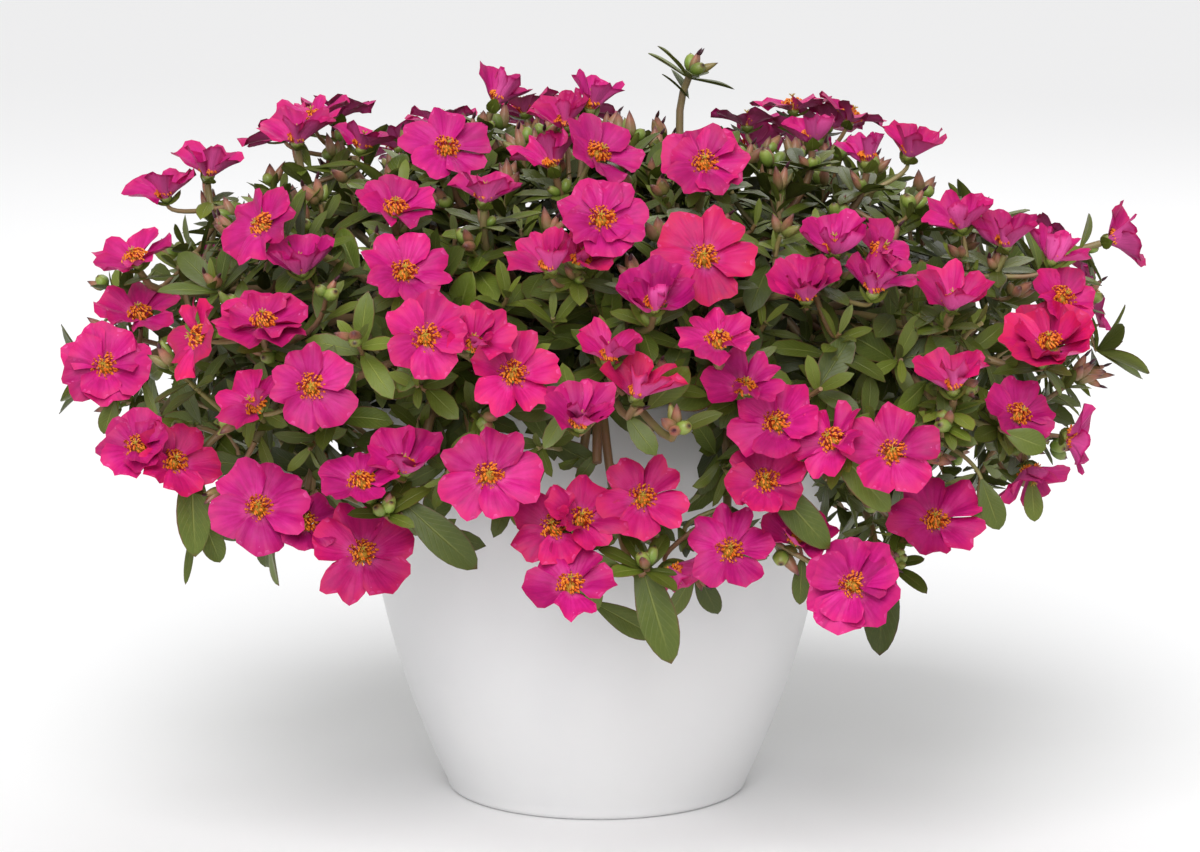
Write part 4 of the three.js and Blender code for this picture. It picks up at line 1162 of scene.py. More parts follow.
def heartBlocks(truss):
    # Stamens stand on a small disc and spread by the golden angle, the outer ones leaning more, and all lean
    # up a little. Each is a thread with a grain across its tip; a low dome and the style's lobes fill the
    # middle.
    total, lobes = heartShape["stamens"], heartShape["lobes"]
    order = np.arange(total)
    share = np.sqrt((order + 0.5) / total)
    feet, tips, across, styleFeet, styleTips = [], [], [], [], []
    for bloom in truss:
        point, axis, index = bloom["point"], bloom["axis"], bloom["index"]
        side, other = uprightFrames(axis)
        turn = order * goldenTurn + bloom["spin"] + 0.7 * (draw(order + 3.0 * index, 36) - 0.5)
        widest = mix(heartShape["closedSpread"], heartShape["openSpread"], bloom["open"])
        tilt = widest * share + heartShape["leanSpread"] * (draw(order + index, 31) - 0.5)
        tilt = np.radians(tilt)[:, None]
        height = 0.5 * share + 0.5 * draw(order * 3 + index, 32)
        reach = mix(heartShape["longest"], heartShape["shortest"], height)
        reach = reach * (heartShape["hooded"] if index in hoodedBlooms else 1.0)
        flat = circleRound(side[None], other[None], turn)[0]
        foot = point + flat * (heartShape["discRadius"] * share)[:, None] - axis * 0.6
        stalk = unit(axis * np.cos(tilt) + flat * np.sin(tilt) + heartShape["lifted"] * up)
        feet.append(foot)
        tips.append(foot + stalk * reach[:, None])
        across.append(unit(flat * np.cos(tilt) - axis * np.sin(tilt) + 0.4 * side))
        turn = 2.0 * math.pi * np.arange(lobes) / lobes + bloom["spin"]
        flat = circleRound(side[None], other[None], turn)[0]
        top = point + axis * heartShape["styleHeight"]
        lobeTips = top + flat * heartShape["lobeSpread"] + axis * heartShape["lobeRise"]
        styleFeet.append(np.concatenate([[point], np.tile(top, (lobes, 1))]))
        styleTips.append(np.concatenate([[top], lobeTips]))
    feet, tips, across = np.concatenate(feet), np.concatenate(tips), np.concatenate(across)
    styleFeet, styleTips = np.concatenate(styleFeet), np.concatenate(styleTips)
    grains = np.arange(len(tips))
    tone = mix(0.34, 0.72, draw(grains, 33))
    axes = valuesOf(truss, "axis")
    dome = heartShape["dome"]
    return [
        needleBlock(feet, tips, heartShape["filament"], mix(0.0, 0.25, draw(grains, 34))),
        grainBlock(tips, across, heartShape["anther"] * mix(0.8, 1.2, draw(grains, 35)), tone),
        needleBlock(styleFeet, styleTips, heartShape["lobeRadius"], 1.0),
        podBlock(valuesOf(truss, "point") - axes, axes, dome, dome + heartShape["domeRise"], domeProfile,
                 stamenMaterial, tone=0.9),
    ]


leafShape = {
    "thickness": 1.5, "spacing": 29.5, "first": 26.0, "collarDepth": 11.0, "share": 0.75,
    "shortest": 24.0, "longest": 37.0, "ratio": 0.42,
    "collarShortest": 18.0, "collarLongest": 26.0, "collarRatio": 0.3,
    "lowReach": 3.0, "lowSink": 1.8, "lowRatio": 0.32,
}
leafFields = ("foot", "direction", "face", "length", "width", "tone", "young", "depth")


def leafSet():
    return {field: [] for field in leafFields}


def addLeaf(leaves, foot, direction, face, length, width, tone=0.5, young=0.2, depth=0.0):
    for field, value in zip(leafFields, (foot, direction, face, length, width, tone, young, depth)):
        leaves[field].append(value)


def leavesWhere(leaves, chosen):
    return {field: [values[i] for i in np.flatnonzero(chosen)] for field, values in leaves.items()}


def leafBlock(leaves, across, along, material, point=1.5):
    # A leaf widens from its foot to past its middle: half its width times sin(pi v^point)^0.62. It is folded
    # up from its midrib, droops with the cube of v, waves a little along its edges, and is thickest on the
    # rib.
    u, v, side, faces = shellGrid(across, along)
    column = lambda field: np.asarray(leaves[field], float)[:, None]
    length, width, serial = column("length"), column("width"), column("tone") * 97.0
    v = 1.0 - (1.0 - v) ** 1.25  # the rows lie closer together at the round tip
    outline = np.sin(math.pi * np.clip(v, 0, 1) ** point) ** 0.62
    outline = np.maximum(outline, 0.10 * (1.0 - v) * np.clip(v * 12.0, 0, 1))
    x = 0.5 * width * u * outline
    y = mix(-1.2, length, v)
    z = 0.12 * width * np.abs(u) ** 1.4 * outline
    z = z - 0.10 * length * v**3 * mix(0.4, 1.3, draw(serial, 41))
    z = z + 0.030 * width * v * np.abs(u) * np.sin(8.0 * v + 6.28 * draw(serial, 42) + 2.0 * u)
    thick = leafShape["thickness"] * np.clip(width / 12.0, 0.5, 1.0)
    rounding = np.sqrt(np.clip(1.0 - u**2, 0, 1))
    z = z + 0.5 * thick * side * rounding * np.sin(math.pi * np.clip(v, 0.04, 0.97)) ** 0.35
    direction = np.asarray(leaves["direction"])
    sideways = unit(np.cross(direction, np.asarray(leaves["face"])))
    directions = (sideways, direction, np.cross(sideways, direction))
    points = inFrames(np.asarray(leaves["foot"]), directions, (x, y, z))
    uv = np.stack([u * 0.5 + 0.5, v], -1)
    return copiesBlock(points, [faces], uv, material, side, tone=leaves["tone"], warmth=leaves["young"],
                       depth=leaves["depth"])


cupShape = {"radius": 3.1, "sepalLength": 9.5, "sepalWidth": 6.5, "sepalTurn": 0.6, "hug": 0.05}


def cupProfile(v):
    return np.sin(math.pi * np.clip(v, 0, 1) ** 1.3 * 0.86) ** 0.6


def cupBlocks(truss):
    # the green cup under the petals, with two sepals that hug it
    axes, depths = valuesOf(truss, "axis"), coneDepth(valuesOf(truss, "open"))
    feet = valuesOf(truss, "point") - axes * (depths + 0.3)[:, None]
    cup = podBlock(feet, axes, cupShape["radius"], depths + 0.6, cupProfile, budMaterial, warmth=0.15)
    sepals = leafSet()
    for bloom, depth in zip(truss, depths):
        point, axis = bloom["point"], bloom["axis"]
        lean = petalLean(bloom["open"]) - cupShape["hug"]
        for turn in (bloom["spin"] + cupShape["sepalTurn"], bloom["spin"] + cupShape["sepalTurn"] + math.pi):
            flat = awayFrom(axis, turn)
            direction = unit(axis * math.cos(lean) + flat * math.sin(lean))
            face = flat * math.cos(lean) - axis * math.sin(lean)
            addLeaf(sepals, point - axis * (depth + 0.2), direction, face, cupShape["sepalLength"],
                    cupShape["sepalWidth"], tone=0.5, young=0.4)
    return [cup, leafBlock(sepals, 4, 5, leafMaterial, point=1.0)]


def makeBlooms():
    finishes = [petalMaterial, stamenMaterial, budMaterial, leafMaterial]
    for number, truss in enumerate(trusses, 1):
        blocks = [petalBlock(truss), *heartBlocks(truss), *cupBlocks(truss)]
        makePiece(f"bloomsFine_{number:02d}", blocks, finishes, [f"blooms_{number:02d}"])


makeBlooms()
print("blooms made")

# where a truss's twigs leave its shoot, how straight they end, and the room between them and their blooms
twig = {"first": 18.0, "spacing": 5.0, "straight": 7.0, "gap": 0.55}
shootStep = 50.0


# the radius at the start and at the end, and the number of sides
wood = {
    "main": (3.1, 2.1, 8), "shoot": (2.3, 1.7, 6), "twig": (1.4, 1.0, 5), "rosette": (1.3, 1.0, 5),
    "spur": (1.4, 1.1, 5), "hanging": (1.2, 0.9, 5),
}


def addTube(stem, path, kind):
    first, last, sides = wood[kind]
    stem["tubes"].append((path, np.linspace(first, last, len(path)), sides))


def bezier(controls, samples=200):
    t = np.linspace(0.0, 1.0, samples + 1)[:, None]
    if len(controls) == 3:
        a, b, c = controls
        return (1 - t) ** 2 * a + 2 * t * (1 - t) * b + t**2 * c
    a, b, c, d = controls
    return (1 - t) ** 3 * a + 3 * t * (1 - t) ** 2 * b + 3 * t**2 * (1 - t) * c + t**3 * d


def smoothRoute(route, samples=200):
    # a centripetal Catmull-Rom curve through the route's points
    route = np.asarray(route, float)
    padded = np.concatenate([[2 * route[0] - route[1]], route, [2 * route[-1] - route[-2]]])
    out = []
    for t in np.linspace(0.0, len(route) - 1.0, samples + 1):
        i = min(int(t), len(route) - 2)
        w = t - i
        p0, p1, p2, p3 = padded[i:i + 4]
        d0, d1, d2 = [max(np.sum((b - a) ** 2) ** 0.25, 1e-4) for a, b in ((p0, p1), (p1, p2), (p2, p3))]
        m1 = ((p1 - p0) / d0 - (p2 - p0) / (d0 + d1) + (p2 - p1) / d1) * d1
        m2 = ((p2 - p1) / d1 - (p3 - p1) / (d1 + d2) + (p3 - p2) / d2) * d1
        a, b = 2 * p1 - 2 * p2 + m1 + m2, -3 * p1 + 3 * p2 - 2 * m1 - m2
        out.append(p1 + m1 * w + b * w**2 + a * w**3)
    return np.array(out)


def curveLength(path):
    return float(np.linalg.norm(np.diff(path, axis=0), axis=1).sum())


def spaced(path, steps):
    along = np.concatenate([[0.0], np.cumsum(np.linalg.norm(np.diff(path, axis=0), axis=1))])
    wanted = np.linspace(0.0, along[-1], steps + 1)
    return np.stack([np.interp(wanted, along, path[:, i]) for i in range(3)], -1)


def placeOnShoot(joints, back):
    left = back
    for i in range(len(joints) - 1, 0, -1):
        span = joints[i] - joints[i - 1]
        length = np.linalg.norm(span)
        if left <= length:
            return joints[i] - span / length * left, span / length
        left -= length
    return joints[0], unit(joints[1] - joints[0])


def placeAtRadius(joints, radius):
    radii = np.hypot(joints[:, 0], joints[:, 1])
    beyond = np.flatnonzero(radii > radius)
    following = max(1, beyond[0] if len(beyond) else -1)
    share = np.clip((radius - radii[following - 1]) / (radii[following] - radii[following - 1]), 0.0, 1.0)
    return mix(joints[following - 1], joints[following], share)


def mainCurve(azimuth):
    edge = float(np.hypot(*pointTowards(azimuth, 0)[:2]))
    route = [
        (mainStem["ring"], soilShape["top"] - soilShape["holeDepth"] + mainStem["gap"]),
        (mainStem["ring"] + 0.5, soilShape["top"] + 22),
        (60, 236), (98, 242), (0.62 * edge, 236), (0.76 * edge, 214), (mainStem["reach"] * edge, 190),
    ]
    angle = math.radians(azimuth)
    return smoothRoute([(r * math.cos(angle), r * math.sin(angle), z) for r, z in route]), edge


def underFloor(bloom):
    return bloom["point"] - bloom["axis"] * (coneDepth(bloom["open"]) + twig["gap"])


def makeHeads():
    # every shoot ends in one: a truss of blooms or, where it is bare, a cluster of buds
    heads = []
    for truss in trusses:
        end, axis = underFloor(truss[0]), truss[0]["axis"]
        heads.append({"end": end, "axis": axis, "mates": truss[1:], "collar": 2, "bare": False})
    for across, height, turn, tilt, sink in bareHeads:
        point, axis = sightedPlace(across, height, turn, tilt, sightDistance(across, height) + sink)
        heads.append({"end": point, "axis": axis, "mates": [], "collar": 4, "bare": True})
    return heads


def nearestStem(stems, point):
    turn = [math.atan2(point[1], point[0]) - stem["angle"] for stem in stems]
    return stems[int(np.argmin([abs(math.atan2(math.sin(t), math.cos(t))) for t in turn]))]


def shootCurve(stem, head):
    end = head["end"]
    radius = math.hypot(end[0], end[1])
    start = placeAtRadius(stem["joints"], np.clip(0.6 * radius, 42.0, 0.7 * stem["edge"]))
    distance = np.linalg.norm(end - start)
    span = (end - start) / distance
    away = np.array([math.cos(stem["angle"]), math.sin(stem["angle"]), 0.0])
    leaving = unit(away * (1 - 0.4 * max(span[2], 0.0)) + up * (0.3 + span[2]))
    return bezier([start, start + leaving * 0.4 * distance, end - head["axis"] * 0.3 * distance, end])


def cadCorners(number):
    # the corners of one leafy stem's CAD mesh, to see which of the leaves and rosettes stand on it
    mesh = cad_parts[f"leafy_stem_{number:02d}"].data
    corners = np.empty(len(mesh.vertices) * 3, np.float32)
    mesh.vertices.foreach_get("co", corners)
    return corners.reshape(-1, 3) * 1000.0


stems = []
for number, azimuth in enumerate(stemAzimuths, 1):
    path, edge = mainCurve(azimuth)
    stems.append({
        "angle": math.radians(azimuth), "path": path, "edge": edge, "joints": spaced(path, mainStem["steps"]),
        "shoots": [], "kept": leafSet(), "small": leafSet(), "buds": [], "tubes": [],
        "corners": cadCorners(number),
    })
heads = makeHeads()


def standsIn(stem, point):
    return np.min(np.linalg.norm(stem["corners"] - point, axis=1)) < 0.2


def leafTip(foot, direction, face, length):
    # where a large leaf of the solids ends: it droops by a tenth of its length
    normal = np.cross(unit(np.cross(direction, face)), direction)
    return foot + direction * length - normal * 0.1 * length


# The large leaves that a stem may have, each as foot, direction, upper side, length and width. The solids
# hold those that are clear of the blooms.
def candidateLeaves(joints, length, number):
    for i in range(int(leafShape["share"] * length / leafShape["spacing"])):
        point, tangent = placeOnShoot(joints, leafShape["first"] + leafShape["spacing"] * i)
        out = outward(point)
        aside = unit(np.cross(tangent, out))
        turn = math.radians(goldenDegrees * i) + 2.0 * math.pi * draw(number, 6)
        spread = aside * math.cos(turn) + np.cross(aside, tangent) * math.sin(turn)
        reach = mix(leafShape["shortest"], leafShape["longest"], draw(number * 40 + i, 7))
        yield point, unit(0.55 * tangent + 0.83 * spread), out, reach, leafShape["ratio"] * reach


def collarLeaves(head, joints, number):
    point, _ = placeOnShoot(joints, leafShape["collarDepth"])
    for i in range(head["collar"]):
        index = number * 40 + 20 + i
        side = unit(np.cross(head["axis"], right if abs(head["axis"][2]) > 0.9 else up))
        turn = 2.0 * math.pi * (i + 0.6 * draw(index, 8)) / head["collar"]
        spread = turned(side, head["axis"], turn)
        reach = mix(leafShape["collarShortest"], leafShape["collarLongest"], draw(index, 9))
        direction = unit(0.35 * head["axis"] + 0.94 * spread)
        yield point, direction, head["axis"], reach, leafShape["collarRatio"] * reach


def lowLeaf(joints, across, height):
    point, _ = placeOnShoot(joints, leafShape["collarDepth"])
    distance = np.linalg.norm(point - eye) - leafShape["lowReach"]
    span = eye + sightLine(across, height) * distance - point
    length = np.linalg.norm(span) + leafShape["lowSink"]
    direction = unit(span)
    foot = point - direction * leafShape["lowSink"]
    return foot, direction, unit(eye - point), length, leafShape["lowRatio"] * length


offers = []
for number, head in enumerate(heads):
    stem = nearestStem(stems, head["end"])
    curve = shootCurve(stem, head)
    length = curveLength(curve)
    joints = spaced(curve, max(2, int(length / shootStep + 0.5)))
    path = spaced(curve, max(8, int(length / 9)))
    stem["shoots"].append({"path": path, "length": length, "head": head, "number": number, "joints": joints})
    own = [lowLeaf(joints, across, height) for owner, across, height in lowLeaves if owner == number + 1]
    own += [*collarLeaves(head, joints, number), *candidateLeaves(joints, length, number)]
    offers += [(stem, leaf) for leaf in own]
for i, stem in enumerate(stems, len(heads)):
    length = 0.6 * len(stem["joints"]) * np.linalg.norm(stem["joints"][1] - stem["joints"][0])
    offers += [(stem, leaf) for leaf in candidateLeaves(stem["joints"], length, i)]
kept = [(stem, leaf) for stem, leaf in offers if standsIn(stem, leafTip(*leaf[:4]))]
for i, (stem, leaf) in enumerate(kept, 1):
    addLeaf(stem["kept"], *leaf, tone=draw(i, 51), young=0.3 * draw(i, 52))
print("large leaves found in the solids:", len(kept), "of", len(offers))


# Rosettes of five leaves, each on a straight side twig, spread over the cushion by the golden angle.
rosette = {
    "tries": 176, "firstIndex": 1000, "leaves": 5,
    "rise": 0.3, "lowest": 105.0, "depth": 11.0, "topDepth": 38.0,
    "shortest": 24.0, "longest": 32.0, "ratio": 0.4, "leastLean": 50.0, "mostLean": 82.0,
    "under": 9.0, "woodSpacing": 10.0,
}


def rosetteLeaf(index, i, place, axis):
    # foot, direction, upper side, length and width of one leaf, and where its tip is in the solids
    reach = mix(rosette["shortest"], rosette["longest"], draw(index * 5 + i, 13))
    lean = math.radians(mix(rosette["leastLean"], rosette["mostLean"], draw(index * 5 + i, 14)))
    turn = 2.0 * math.pi * (i / rosette["leaves"] + draw(index, 12))
    flat = awayFrom(axis, turn)
    direction = flat * math.sin(lean) + axis * math.cos(lean)
    face = axis * math.sin(lean) - flat * math.cos(lean)
    tip = place + reach * (direction + 0.1 * face)
    return (place, unit(direction + 0.2 * face), face, reach, rosette["ratio"] * reach), tip


def findRosettes():
    found = []
    woods = {id(stem): [np.zeros((0, 3))] for stem in stems}
    for stem in stems:
        for one in stem["shoots"]:
            backs = np.arange(rosette["woodSpacing"], one["length"], rosette["woodSpacing"])
            woods[id(stem)].append(np.array([placeOnShoot(one["joints"], back)[0] for back in backs]))
    count = rosette["leaves"]
    for number in range(rosette["tries"]):
        latitude = math.degrees(math.asin(1.0 - 2.0 * (number + 0.5) / rosette["tries"]))
        surface = pointTowards(number * goldenDegrees, latitude)
        out = outward(surface)
        place = surface - mix(rosette["depth"], rosette["topDepth"], max(out[2], 0.0) ** 2) * out
        axis = unit(out + rosette["rise"] * up)
        stem = nearestStem(stems, place)
        leaves = [rosetteLeaf(rosette["firstIndex"] + number, i, place, axis) for i in range(count)]
        if surface[2] < rosette["lowest"] or not standsIn(stem, leaves[0][1]):
            continue
        wood = np.concatenate(woods[id(stem)])
        start = wood[np.argmin(np.linalg.norm(wood - (place - rosette["under"] * axis), axis=1))]
        addTube(stem, spaced(np.array([start, place]), 6), "rosette")
        for i, (leaf, _) in enumerate(leaves):
            addLeaf(stem["kept"], *leaf, tone=draw(number * 5 + i, 53), young=0.5 * draw(number * 5 + i, 54))
        found.append((place, axis, stem))
    return found


rosettes = findRosettes()
rosettePlaces = np.array([place for place, _, _ in rosettes])
print("rosettes found in the solids:", len(rosettes))


# the leaves, twigs and buds that are finer than the solids
growth = {
    "spacing": 9.0, "shortest": 14.0, "longest": 29.0, "narrow": 0.36, "broad": 0.50,
    "seed": 11,
    "lowest": 100.0,  # spurs stand no lower than this
    "apart": 14.0,  # and no nearer than this to a rosette
    "sunkTop": 16.0,  # how much deeper they stand at the cushion's top
    "stepIn": 14.0,  # how much deeper one is set if a bloom is in its way
    "fromWall": 8.0, "overRim": 6.0,  # how near to the pot they stand
    "crown": 4.5,  # how far a cluster of buds stands above its tuft
    "plainDepth": 0.14,  # leaves deeper in the plant than this have fewer faces
}
# The spurs' layers, from the cushion's surface inwards; sunk is how far below the surface they end.
growthLayers = [
    {"spurs": 430, "sunk": (8.0, 24.0), "turn": 0.0, "leaves": 8, "budShare": 0.72, "index": 700},
    {"spurs": 380, "sunk": (34.0, 120.0), "turn": 1.1, "leaves": 8, "budShare": 0.0, "index": 1300},
]
# Where the foliage is thin and the pot's wall shows: across and height limits against the plane y = 0.
thinPlace = {"left": -6.0, "right": 50.0, "low": 138.0, "high": 192.0, "keep": 0.12}
# How far to the sides, how high and how low the finer leaves reach as the eye sees them, as [across, height]
# against the plane y = 0.
foliageSides = 244.0
foliageTop = [
    [-237, 249], [-213, 268], [-189, 288], [-170, 299], [-142, 306], [-113, 311], [-84, 325], [-56, 328],
    [-28, 318], [1, 321], [30, 319], [58, 317], [86, 313], [114, 314], [143, 306], [157, 292], [171, 284],
    [190, 274], [214, 266], [231, 263], [243, 252],
]
foliageFoot = [
    [-239, 176], [-217, 152], [-193, 140], [-174, 138], [-145, 128], [-121, 120], [-96, 118], [-72, 115],
    [-48, 117], [-19, 112], [10, 110], [49, 106], [88, 110], [112, 104], [146, 110], [170, 124], [194, 139],
    [218, 154], [237, 171], [247, 190],
]
# Leaves that hang below the rest, as [across and height of the foot, across and height of the tip, width].
hangingLeaves = [
    [-190, 131, -182, 109, 11],
    [-194, 130, -199, 98, 4],
    [-3, 90, 29, 72, 12],
    [99, 112, 98, 88, 8],
    [185, 150, 194, 125, 12],
    [209, 150, 211, 129, 9],
    [-231, 190, -237, 172, 9],
    [196, 173, 216, 165, 12],
]

bloomPoints, bloomAxes = valuesOf(blooms, "point"), valuesOf(blooms, "axis")
bloomLengths, bloomLeans = valuesOf(blooms, "length"), petalLean(valuesOf(blooms, "open"))


def sighted(points):
    # where the line from the eye through each point meets the plane y = 0
    share = -eye[1] / (points[..., 1] - eye[1])
    return points[..., 0] * share, eye[2] + (points[..., 2] - eye[2]) * share


bloomMiddles = bloomPoints + bloomAxes * (0.5 * bloomLengths * np.cos(bloomLeans))[:, None]
middleAcross, middleHeight = sighted(bloomMiddles)


# the room that the finer leaves leave over, beside and in front of a bloom
bloomRoom = {"over": 16.0, "beside": 2.5, "before": 4.0, "hidden": 0.72, "frontHalf": 20.0}


def hitsBloom(points, room=1.5):
    # in a bloom's cup, in front of it, or between it and the eye
    offset = points[:, None] - bloomPoints[None]
    height = np.sum(offset * bloomAxes[None], -1)
    radius = np.sqrt(np.maximum(np.sum(offset**2, -1) - height**2, 0.0))
    floor = (radius - bloomShape["floorRadius"]) / np.tan(bloomLeans) - room
    top = bloomLengths * np.cos(bloomLeans) + bloomRoom["over"]
    within = radius < bloomLengths * np.sin(bloomLeans) + bloomRoom["beside"]
    inCup = within & (height > floor) & (height < top)
    across, height = sighted(points)
    aside = np.hypot(across[:, None] - middleAcross, height[:, None] - middleHeight)
    nearer = points[:, None, 1] < bloomMiddles[None, :, 1] + bloomRoom["before"]
    isFront = bloomMiddles[None, :, 1] < bloomRoom["frontHalf"]
    hides = (aside < bloomRoom["hidden"] * bloomLengths) & nearer & isFront
    return (inCup | hides).any(1)


def beyondFoliage(points):
    across, height = sighted(points)
    top, foot = (np.interp(across, *np.array(line).T) for line in (foliageTop, foliageFoot))
    return (height > top) | (height < foot) | (np.abs(across) > foliageSides)


def inThinPlace(across, height, depthways):
    thin = (across > thinPlace["left"]) & (across < thinPlace["right"]) & (depthways < 0)
    return thin & (height > thinPlace["low"]) & (height < thinPlace["high"])


def clearLeaves(leaves):
    # drops the leaves that would stand in a bloom, in the pot or under the floor
    if not leaves["foot"]:
        return leaves
    foot, direction = np.array(leaves["foot"]), np.array(leaves["direction"])
    length = np.array(leaves["length"])[:, None]
    across, height = sighted(foot + direction * 0.6 * length)
    bad = np.zeros(len(foot), bool)
    for share in (0.35, 0.7, 1.0):
        point = foot + direction * share * length
        bad |= hitsBloom(point)
        inPot = np.hypot(point[:, 0], point[:, 1]) < potRadiusAt(point[:, 2]) + 2.5
        bad |= inPot & (point[:, 2] < potShape["height"] + 3.0)
        bad |= point[:, 2] < 40.0
        bad |= outside(point) > 0.07
    bad |= beyondFoliage(foot + direction * length)
    thin = inThinPlace(across, height, foot[:, 1])
    bad |= thin & (draw(np.arange(len(foot)), 61) > thinPlace["keep"])
    return leavesWhere(leaves, ~bad)


def depthIn(points):
    # how deep in the cushion, from 0 near its surface to 0.75 in its middle; the materials darken by it as
    # painted shade
    return 0.75 * smoothStep((-outside(points) - 0.05) / 0.45)


def addSmallLeaf(leaves, foot, direction, face, reach, width, tone, young):
    depth = float(depthIn(foot + direction * 0.6 * reach))
    addLeaf(leaves, foot, direction, face, reach, width, tone=tone, young=young, depth=depth)


def addAlong(leaves, path, length, number, first, spacing):
    # leaves round a shoot by the golden angle, shorter towards its tip
    count = int((length - first - 12.0) / spacing)
    for i in range(max(count, 0)):
        back = first + spacing * i
        point, tangent = placeOnShoot(path, back)
        spread = awayFrom(tangent, goldenTurn * i + 6.28 * draw(number, 62))
        index = number * 60 + i
        lean = mix(0.35, 0.8, draw(index, 63))
        direction = unit(tangent * lean + spread + 0.25 * outward(point))
        reach = mix(growth["shortest"], growth["longest"], draw(index, 64))
        reach = reach * mix(0.75, 1.0, min(back / 40.0, 1.0))
        face = unit(outward(point) + 0.35 * up + 0.3 * tangent)
        width = reach * mix(growth["narrow"], growth["broad"], draw(index, 65))
        addSmallLeaf(leaves, point, direction, face, reach, width, draw(index, 66), 0.5 * draw(index, 67))


def budProfile(v):
    return np.sin(math.pi * np.clip(v, 0, 1) ** 0.72) ** 0.85 * (1.0 - 0.18 * v)


def capsuleProfile(v):
    return np.sin(math.pi * np.clip(v, 0, 1) ** 0.95) ** 0.55


budShape = {
    "share": 0.54,  # of a cluster's members the share that are pointed buds; the others are round capsules
    "radius": (2.2, 3.2), "length": (9.5, 14.5), "lean": (0.35, 1.0),
    "capsuleWide": 1.15, "capsuleLong": 0.72,  # a capsule against a bud
    "wilted": 0.72, "stubRadius": 0.9, "stubLength": 5.0, "stubSunk": 2.2,
}


def addBuds(stem, foot, axis, count, index, size=1.0):
    # a cluster round one pointed bud that stands along the axis; the others lean their own ways
    for i in range(count):
        serial = index * 9 + i
        spread = awayFrom(axis, goldenTurn * i + 6.28 * draw(serial, 71))
        direction = unit(axis + (mix(*budShape["lean"], draw(serial, 72)) if i else 0.15) * spread)
        kind = draw(serial, 73) if i else 0.3
        radius = mix(*budShape["radius"], draw(serial, 74)) * size
        length = mix(*budShape["length"], draw(serial, 75)) * size
        if kind > budShape["share"]:
            length *= budShape["capsuleLong"]
            radius *= budShape["capsuleWide"]
        stem["buds"].append((foot + direction * 1.0, direction, radius, length, kind, draw(serial, 76)))


headCollar = {"leaves": 6, "shortest": 14.0, "longest": 24.0, "ratio": 0.38, "lean": (0.0, 0.5)}


def makeCollar(leaves, foot, axis, index):
    # narrow leaves in a ring round a head
    count = headCollar["leaves"]
    for i in range(count):
        serial = index * 17 + i
        spread = awayFrom(axis, 2.0 * math.pi * (i + 0.7 * draw(serial, 81)) / count)
        direction = unit(mix(*headCollar["lean"], draw(serial, 82)) * axis + spread)
        reach = mix(headCollar["shortest"], headCollar["longest"], draw(serial, 83))
        young = mix(0.1, 0.9, draw(serial, 85))
        width = headCollar["ratio"] * reach
        addSmallLeaf(leaves, foot, direction, axis, reach, width, draw(serial, 84), young)


def makeTuft(leaves, foot, axis, count, index, depthFrom=14.0):
    # leaves by the golden angle up the last of a twig: long and spread lower down, short and steep at its tip
    for i in range(count):
        serial = index * 23 + i
        share = i / (count - 1)
        spread = awayFrom(axis, goldenTurn * i + 6.28 * draw(index, 86))
        lean = math.radians(mix(84.0, 34.0, share) + 24.0 * (draw(serial, 87) - 0.5))
        direction = unit(axis * math.cos(lean) + spread * math.sin(lean))
        reach = mix(growth["longest"], growth["shortest"], share) * mix(0.78, 1.1, draw(serial, 88))
        width = reach * mix(mix(growth["narrow"], growth["broad"], draw(serial, 89)), 0.30, share)
        place = foot - axis * depthFrom * (1.0 - share)
        face = unit(axis * math.sin(lean) - spread * math.cos(lean) + 0.2 * up)
        young = 0.7 * share + 0.4 * draw(serial, 85)
        addSmallLeaf(leaves, place, direction, face, reach, width, draw(serial, 84), young)


def growStemDetails():
    for i, stem in enumerate(stems):
        addTube(stem, spaced(stem["path"], 36), "main")
        addAlong(stem["small"], stem["path"], curveLength(stem["path"]), 300 + i, 4.0, growth["spacing"])
        for one in stem["shoots"]:
            head, number, path = one["head"], one["number"], one["path"]
            addTube(stem, path, "shoot")
            for j, bloom in enumerate(head["mates"]):
                start, _ = placeOnShoot(one["joints"], twig["first"] + twig["spacing"] * j)
                control = bloom["point"] - bloom["axis"] * (coneDepth(bloom["open"]) + twig["straight"])
                addTube(stem, bezier([start, control, underFloor(bloom)], 8), "twig")
            addAlong(stem["small"], path, one["length"], number, 10.0, growth["spacing"])
            foot, _ = placeOnShoot(path, 2.0 if head["bare"] else 9.0)
            free = head["bare"] and beyondFoliage(head["end"][None])[0]
            leaves = stem["kept"] if free else stem["small"]
            makeCollar(leaves, foot, head["axis"], number)
            if head["bare"]:
                addBuds(stem, head["end"], head["axis"], 6, number)
            else:
                addBuds(stem, foot, head["axis"], 4, number, 0.85)
    for number, (place, axis, stem) in enumerate(rosettes):
        makeTuft(stem["small"], place + axis * 4.0, axis, 5, 500 + number, 6.0)
        addBuds(stem, place + axis * 3.0, axis, 2 + int(3 * draw(number, 95)), 500 + number, 0.9)


def growHanging(samples, owners, paths):
    # samples are points along all the paths, and owners are the numbers of their paths
    for number, (footAcross, footHeight, tipAcross, tipHeight, width) in enumerate(hangingLeaves):
        distance = sightDistance(footAcross, footHeight) + 3.0
        foot = eye + sightLine(footAcross, footHeight) * distance
        tip = eye + sightLine(tipAcross, tipHeight) * (distance + 1.0)
        nearest = np.argmin(np.linalg.norm(samples - foot, axis=1))
        stem = paths[int(owners[nearest])][0]
        span = np.linalg.norm(foot - samples[nearest])
        direction = unit(tip - foot)
        addTube(stem, bezier([samples[nearest], foot - direction * 0.35 * span, foot], 6), "hanging")
        addLeaf(stem["kept"], foot, direction, unit(eye - foot), np.linalg.norm(tip - foot), width,
                tone=draw(number, 57), young=0.4 * draw(number, 58))


